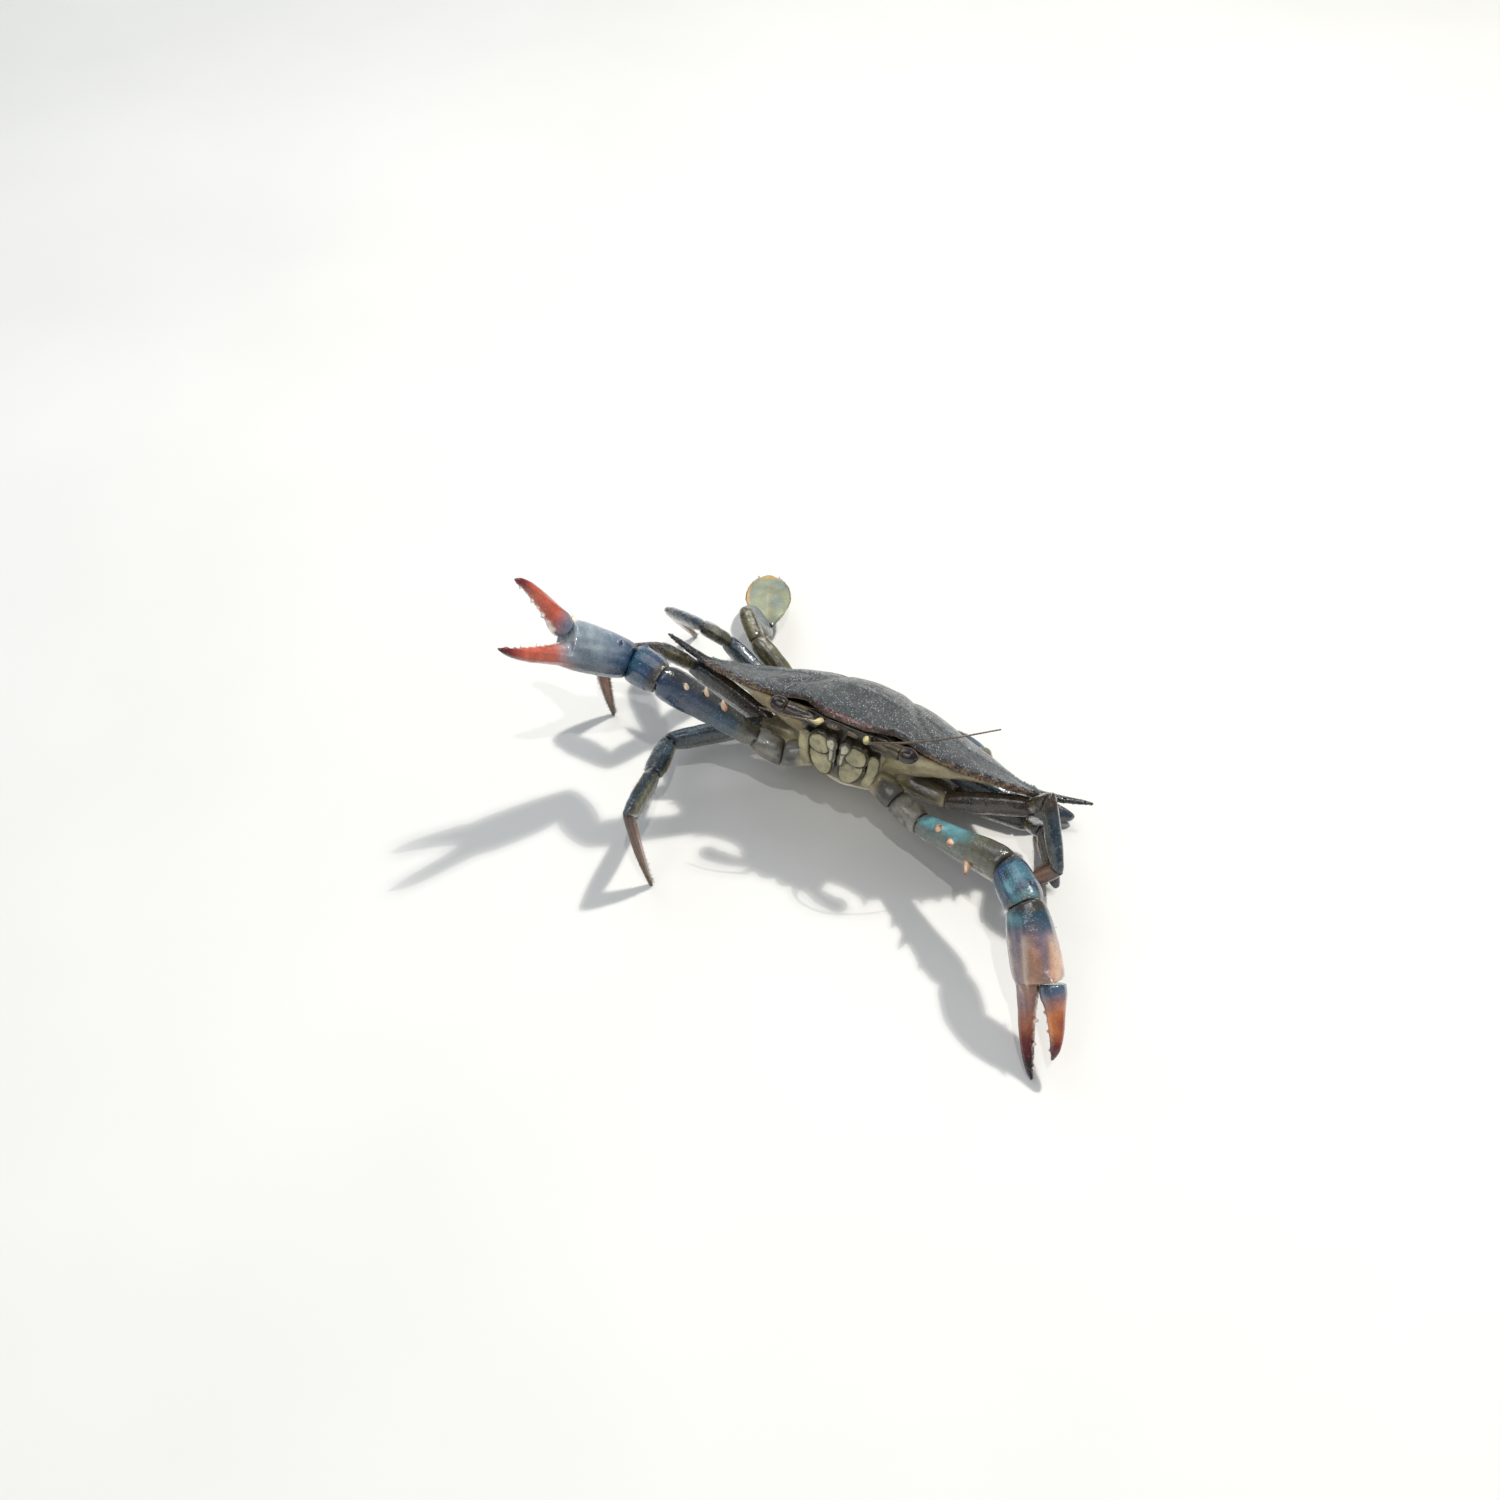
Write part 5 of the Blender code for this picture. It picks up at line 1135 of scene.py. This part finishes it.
# Thorns and beads


THORN_SHAPE = ((0.0, 1.25), (0.2, 1.0), (0.5, 0.68), (0.8, 0.36), (0.94, 0.18), (1.0, 0.05))


def tube_faces(rows, around, base=0):
    """Faces of a closed tube: its points are ring after ring, then the middle of each end."""
    last = base + (rows - 1) * around
    quads, ends = [], []
    for k in range(around):
        after = (k + 1) % around
        for low in range(base, last, around):
            quads.append((low + k, low + after, low + around + after, low + around + k))
        ends.append((base + after, base + k, last + around))
        ends.append((last + k, last + after, last + around + 1))
    return quads, ends


def add_thorns(name, thorns, colours):
    """Smooth pointed thorns as one mesh, each given by its root, its tip and its half width."""
    around = 12
    angle = np.arange(around) * 2 * math.pi / around
    points, quads, ends, shares = [], [], [], []
    for root, tip, half in thorns:
        way = tip - root
        side = unit(np.cross(way, UP + 0.1))
        other = unit(np.cross(way, side))
        faces = tube_faces(len(THORN_SHAPE), around, len(shares))
        quads += faces[0]
        ends += faces[1]
        for share, width in THORN_SHAPE:
            circle = np.outer(np.cos(angle), side) + np.outer(np.sin(angle), other)
            points.append(root + way * share + circle * half * width)
            shares += [share] * around
        points += [root[None], tip[None]]
        shares += [0.0, 1.0]
    mesh = build_mesh(name, np.vstack(points), [quads, ends])
    show(name, mesh, CLAW, ramp(np.array(shares), *colours), 0.0)


THORN_COLOURS = (
    (0.0, THORN_ORANGE * 0.5), (0.3, THORN_ORANGE), (0.65, THORN_CREAM), (0.88, CORAL), (1.0, MAROON),
)


def thinned(places, spacing):
    """The numbers of these places with one kept in each cell of the spacing."""
    cells = np.floor(places / spacing).astype(int)
    return np.sort(np.unique(cells, axis=0, return_index=True)[1])


def add_beads(name, places, ways, radius, tones, material):
    """Small round granules as one mesh, each sunk half into the shell."""
    shape = bmesh.new()
    bmesh.ops.create_icosphere(shape, subdivisions=1, radius=1.0)
    ball = np.array([corner.co[:] for corner in shape.verts])
    faces = np.array([[corner.index for corner in face.verts] for face in shape.faces])
    shape.free()
    sizes = radius * DRAW.uniform(0.75, 1.25, len(places))
    points = places[:, None] + ways[:, None] * 0.1 + ball[None] * sizes[:, None, None]
    triangles = faces[None] + (np.arange(len(places)) * len(ball))[:, None, None]
    mesh = build_mesh(name, points.reshape(-1, 3), [triangles.reshape(-1, 3)])
    show(name, mesh, material, np.repeat(tones, len(ball), axis=0), 0.0)


# Joints


def dress_joint(first, second, colour, size):
    """A folded skin between two links, with a smooth knob at each end of the hinge."""
    ring = np.vstack([facing(first, second), facing(second, first)])
    middle = (ring.min(axis=0) + ring.max(axis=0)) / 2
    spread = np.linalg.eigh(np.cov(ring.T))
    way, sides = spread[1][:, 0], spread[1][:, 1:]
    half = np.abs((ring - middle) @ sides).max(axis=0)
    around, rings = 24, 9
    angle = np.arange(around) * 2 * math.pi / around
    points = []
    for row in range(rings):
        at = row / (rings - 1) * 2 - 1
        fold = size * (1 + 0.05 * math.cos(row * math.pi)) * math.sqrt(max(1 - 0.75 * at * at, 0.02))
        circle = np.outer(np.cos(angle) * half[0] * fold, sides[:, 0])
        circle = circle + np.outer(np.sin(angle) * half[1] * fold, sides[:, 1])
        points.append(middle + way * at * 1.3 + circle)
    points = np.vstack([*points, middle - way * 1.35, middle + way * 1.35])
    mesh = build_mesh(f"{second}_joint", points, tube_faces(rings, around))
    # Painted shade: every other ring, in the creases of the folds, is painted darker.
    crease_shade = np.append(np.repeat(np.arange(rings) % 2, around), (0, 0))
    tone = mixed(np.broadcast_to(colour, (len(points), 3)), colour * 0.5, crease_shade)
    show(f"{second}_joint", mesh, PALE, tone, 0.2)


# Bristles


TUFT_PATCH = 0.003  # the size of each bristle's patch on the unwrapped skin


def tuft_piece(name, roots, ways, lengths, halves, tone, cells):
    """Many tapered bristles as one mesh, each a bent three-sided spike rooted in the shell."""
    count = len(roots)
    ways = ways / np.linalg.norm(ways, axis=1, keepdims=True)
    side = np.cross(ways, UP + 0.01)
    side /= np.linalg.norm(side, axis=1, keepdims=True)
    other = np.cross(side, ways)
    points = []
    for share, width, droop in ((0.0, 1.0, 0.0), (0.5, 0.75, 0.03), (1.0, 0.0, 0.12)):
        middle = roots + ways * (lengths * share)[:, None] - UP * (lengths * droop)[:, None]
        for k in range(3 if width else 1):
            turn = 2 * math.pi * k / 3
            offset = side * math.cos(turn) + other * math.sin(turn)
            points.append(middle + offset * (halves * width)[:, None])
    points = np.stack(points, axis=1).reshape(-1, 3)
    base = np.arange(count)[:, None] * 7
    quads = np.vstack([base + np.array([k, (k + 1) % 3, 3 + (k + 1) % 3, 3 + k]) for k in range(3)])
    corners = [(3 + k, 3 + (k + 1) % 3, 6) for k in range(3)] + [(2, 1, 0)]
    threes = np.vstack([base + np.array(three) for three in corners])
    mesh = build_mesh(name, points, [quads, threes])
    layer = mesh.uv_layers.new(name="OFBake")
    corner = np.empty(len(mesh.loops), np.int32)
    mesh.loops.foreach_get("vertex_index", corner)
    tuft, part = corner // 7, corner % 7
    spread = np.stack([part % 3 - 1, part // 3 - 1], axis=1) * TUFT_PATCH / 2
    layer.data.foreach_set("uv", np.clip(cells[tuft] + spread, 0, 1).astype(np.float32).ravel())
    show(name, mesh, BRISTLES, np.repeat(tone, 7, axis=0), 0.0)


def edge_of(shares, sides):
    """The outermost places on one side, from the link's root to its tip: shares and distances."""
    found = []
    for low in np.linspace(0, 1, 12)[:-1]:
        near = np.flatnonzero((shares >= low) & (shares <= low + 0.1))
        if len(near):
            outermost = near[np.argmax(sides[near])]
            found.append((shares[outermost], max(sides[outermost], 0.4)))
    return np.array(found).T


def bristle_leg(name, names, places):
    """Fringes along both edges of a leg's last links."""
    swims = name.endswith("5")
    roots, ways, lengths, tones, cells = [], [], [], [], []
    rows = ((2, 70, 1.0), (3, 100, 0.8)) if swims else ((1, 24, 1.2), (2, 60, 1.7), (3, 70, 1.5))
    for k, count, length in rows:
        points = cad_points(names[k])
        start, end = places[k], places[k + 1]
        along = unit(end - start)
        flat = flat_way(points)
        edge_way = unit(np.cross(along, flat))
        share = (points - start) @ along / np.linalg.norm(end - start)
        side = (points - start) @ edge_way
        low, high = (0.12, 0.97) if k == 3 else (0.12, 0.9)
        for sign in (-1, 1):
            at = low + (high - low) * (np.arange(count) + DRAW.uniform(0, 1, count)) / count
            order = np.argsort(share)
            edge = edge_of(share[order], sign * side[order])
            out = np.interp(at, *edge) * 0.97 - 0.25
            middle = start + (end - start) * at[:, None]
            for layer in (-0.35, 0.0, 0.35):
                jitter = DRAW.normal(0, 0.16, (count, 3))
                roots.append(middle + edge_way * (sign * out)[:, None] + flat * layer + jitter * 0.4)
                ways.append(edge_way * sign + along * 0.75 + flat * layer * 0.8 + jitter)
                lengths.append(length * DRAW.uniform(0.6, 1.15, count) * (1.1 - 0.5 * at * (k == 3)))
                shade = DRAW.uniform(0, 1, count)
                tones.append(mixed(np.broadcast_to(HAIR_BROWN, (count, 3)), HAIR_PALE, shade))
                level = 0.3 + 0.3 * sign + 0.05 * layer
                cells.append(np.column_stack([(k + at) / 4.2 + 0.02, np.full(count, level)]))
    roots, ways, lengths = np.vstack(roots), np.vstack(ways), np.concatenate(lengths)
    high_enough = roots[:, 2] > 0.8
    ways[roots[:, 2] < 2.5, 2] = np.abs(ways[roots[:, 2] < 2.5, 2])
    keep = np.flatnonzero(high_enough)
    tuft_piece(
        f"leg_{name}_bristles", roots[keep], ways[keep], lengths[keep],
        np.full(len(keep), 0.085), np.vstack(tones)[keep], np.vstack(cells)[keep],
    )


# Studio


WORLD_COLOUR = (0.86, 0.92, 1.0, 1.0)
WORLD_STRENGTH = 0.3
# Each light: its name, bearing and elevation in degrees, distance and size in metres, power in watts,
# and colour.
LIGHTS = (
    ("key", SUN_BEARING, SUN_ELEVATION, 1.3, 0.12, 11.5, (1.0, 0.965, 0.9)),
    ("front", -100.0, 50.0, 1.1, 0.6, 2.4, (0.95, 0.97, 1.0)),
    ("sky", 150.0, 48.0, 1.2, 1.0, 4.0, (0.88, 0.94, 1.0)),
    ("glint", SUN_BEARING, SUN_ELEVATION, 1.3, 0.014, 4.6, (1.0, 1.0, 1.0)),
    ("front_glint", -62.0, 66.0, 1.2, 0.02, 2.6, (1.0, 1.0, 1.0)),
)


def build_studio():
    mesh = bpy.data.meshes.new("studio_floor")
    shape = bmesh.new()
    bmesh.ops.create_grid(shape, x_segments=8, y_segments=8, size=3.0)
    shape.to_mesh(mesh)
    shape.free()
    floor = bpy.data.objects.new("studio_floor", mesh)
    bpy.context.scene.collection.objects.link(floor)
    mesh.materials.append(floor_surface())
    world = bpy.data.worlds.new("studio")
    world.use_nodes = True
    background = world.node_tree.nodes["Background"]
    background.inputs["Color"].default_value = WORLD_COLOUR
    background.inputs["Strength"].default_value = WORLD_STRENGTH
    bpy.context.scene.world = world
    for light in LIGHTS:
        area_light(*light)


def area_light(name, bearing, elevation, distance, size, power, colour):
    """A round soft light that faces the model."""
    light = bpy.data.lights.new(name, "AREA")
    light.shape = "DISK"
    light.size = size
    light.energy = power
    light.color = colour
    made = bpy.data.objects.new(name, light)
    bpy.context.scene.collection.objects.link(made)
    bearing, elevation = math.radians(bearing), math.radians(elevation)
    flat = math.cos(elevation)
    way = np.array([flat * math.cos(bearing), flat * math.sin(bearing), math.sin(elevation)])
    made.location = way * distance + np.array([0.0, 0.0, 0.03])
    made.rotation_euler = (math.pi / 2 - elevation, 0.0, bearing + math.pi / 2)


def set_camera():
    camera = bpy.data.cameras.new("camera")
    camera.lens = LENS
    camera.sensor_width = SENSOR
    camera.sensor_fit = "HORIZONTAL"
    camera.clip_start = 0.01
    made = bpy.data.objects.new("camera", camera)
    made.location = CAMERA_PLACE
    made.rotation_euler = (math.radians(90 - VIEW_ELEVATION), 0.0, math.radians(VIEW_AZIMUTH))
    bpy.context.scene.collection.objects.link(made)
    bpy.context.scene.camera = made
    bpy.context.scene.view_settings.view_transform = "Standard"


dress_shell()
dress_under_body()
dress_apron()
dress_mouth()
dress_eyes()
dress_feelers()
for side in ("right", "left"):
    dress_claw(side)
    for number in "2345":
        dress_leg(f"{side}_{number}")
build_studio()
set_camera()
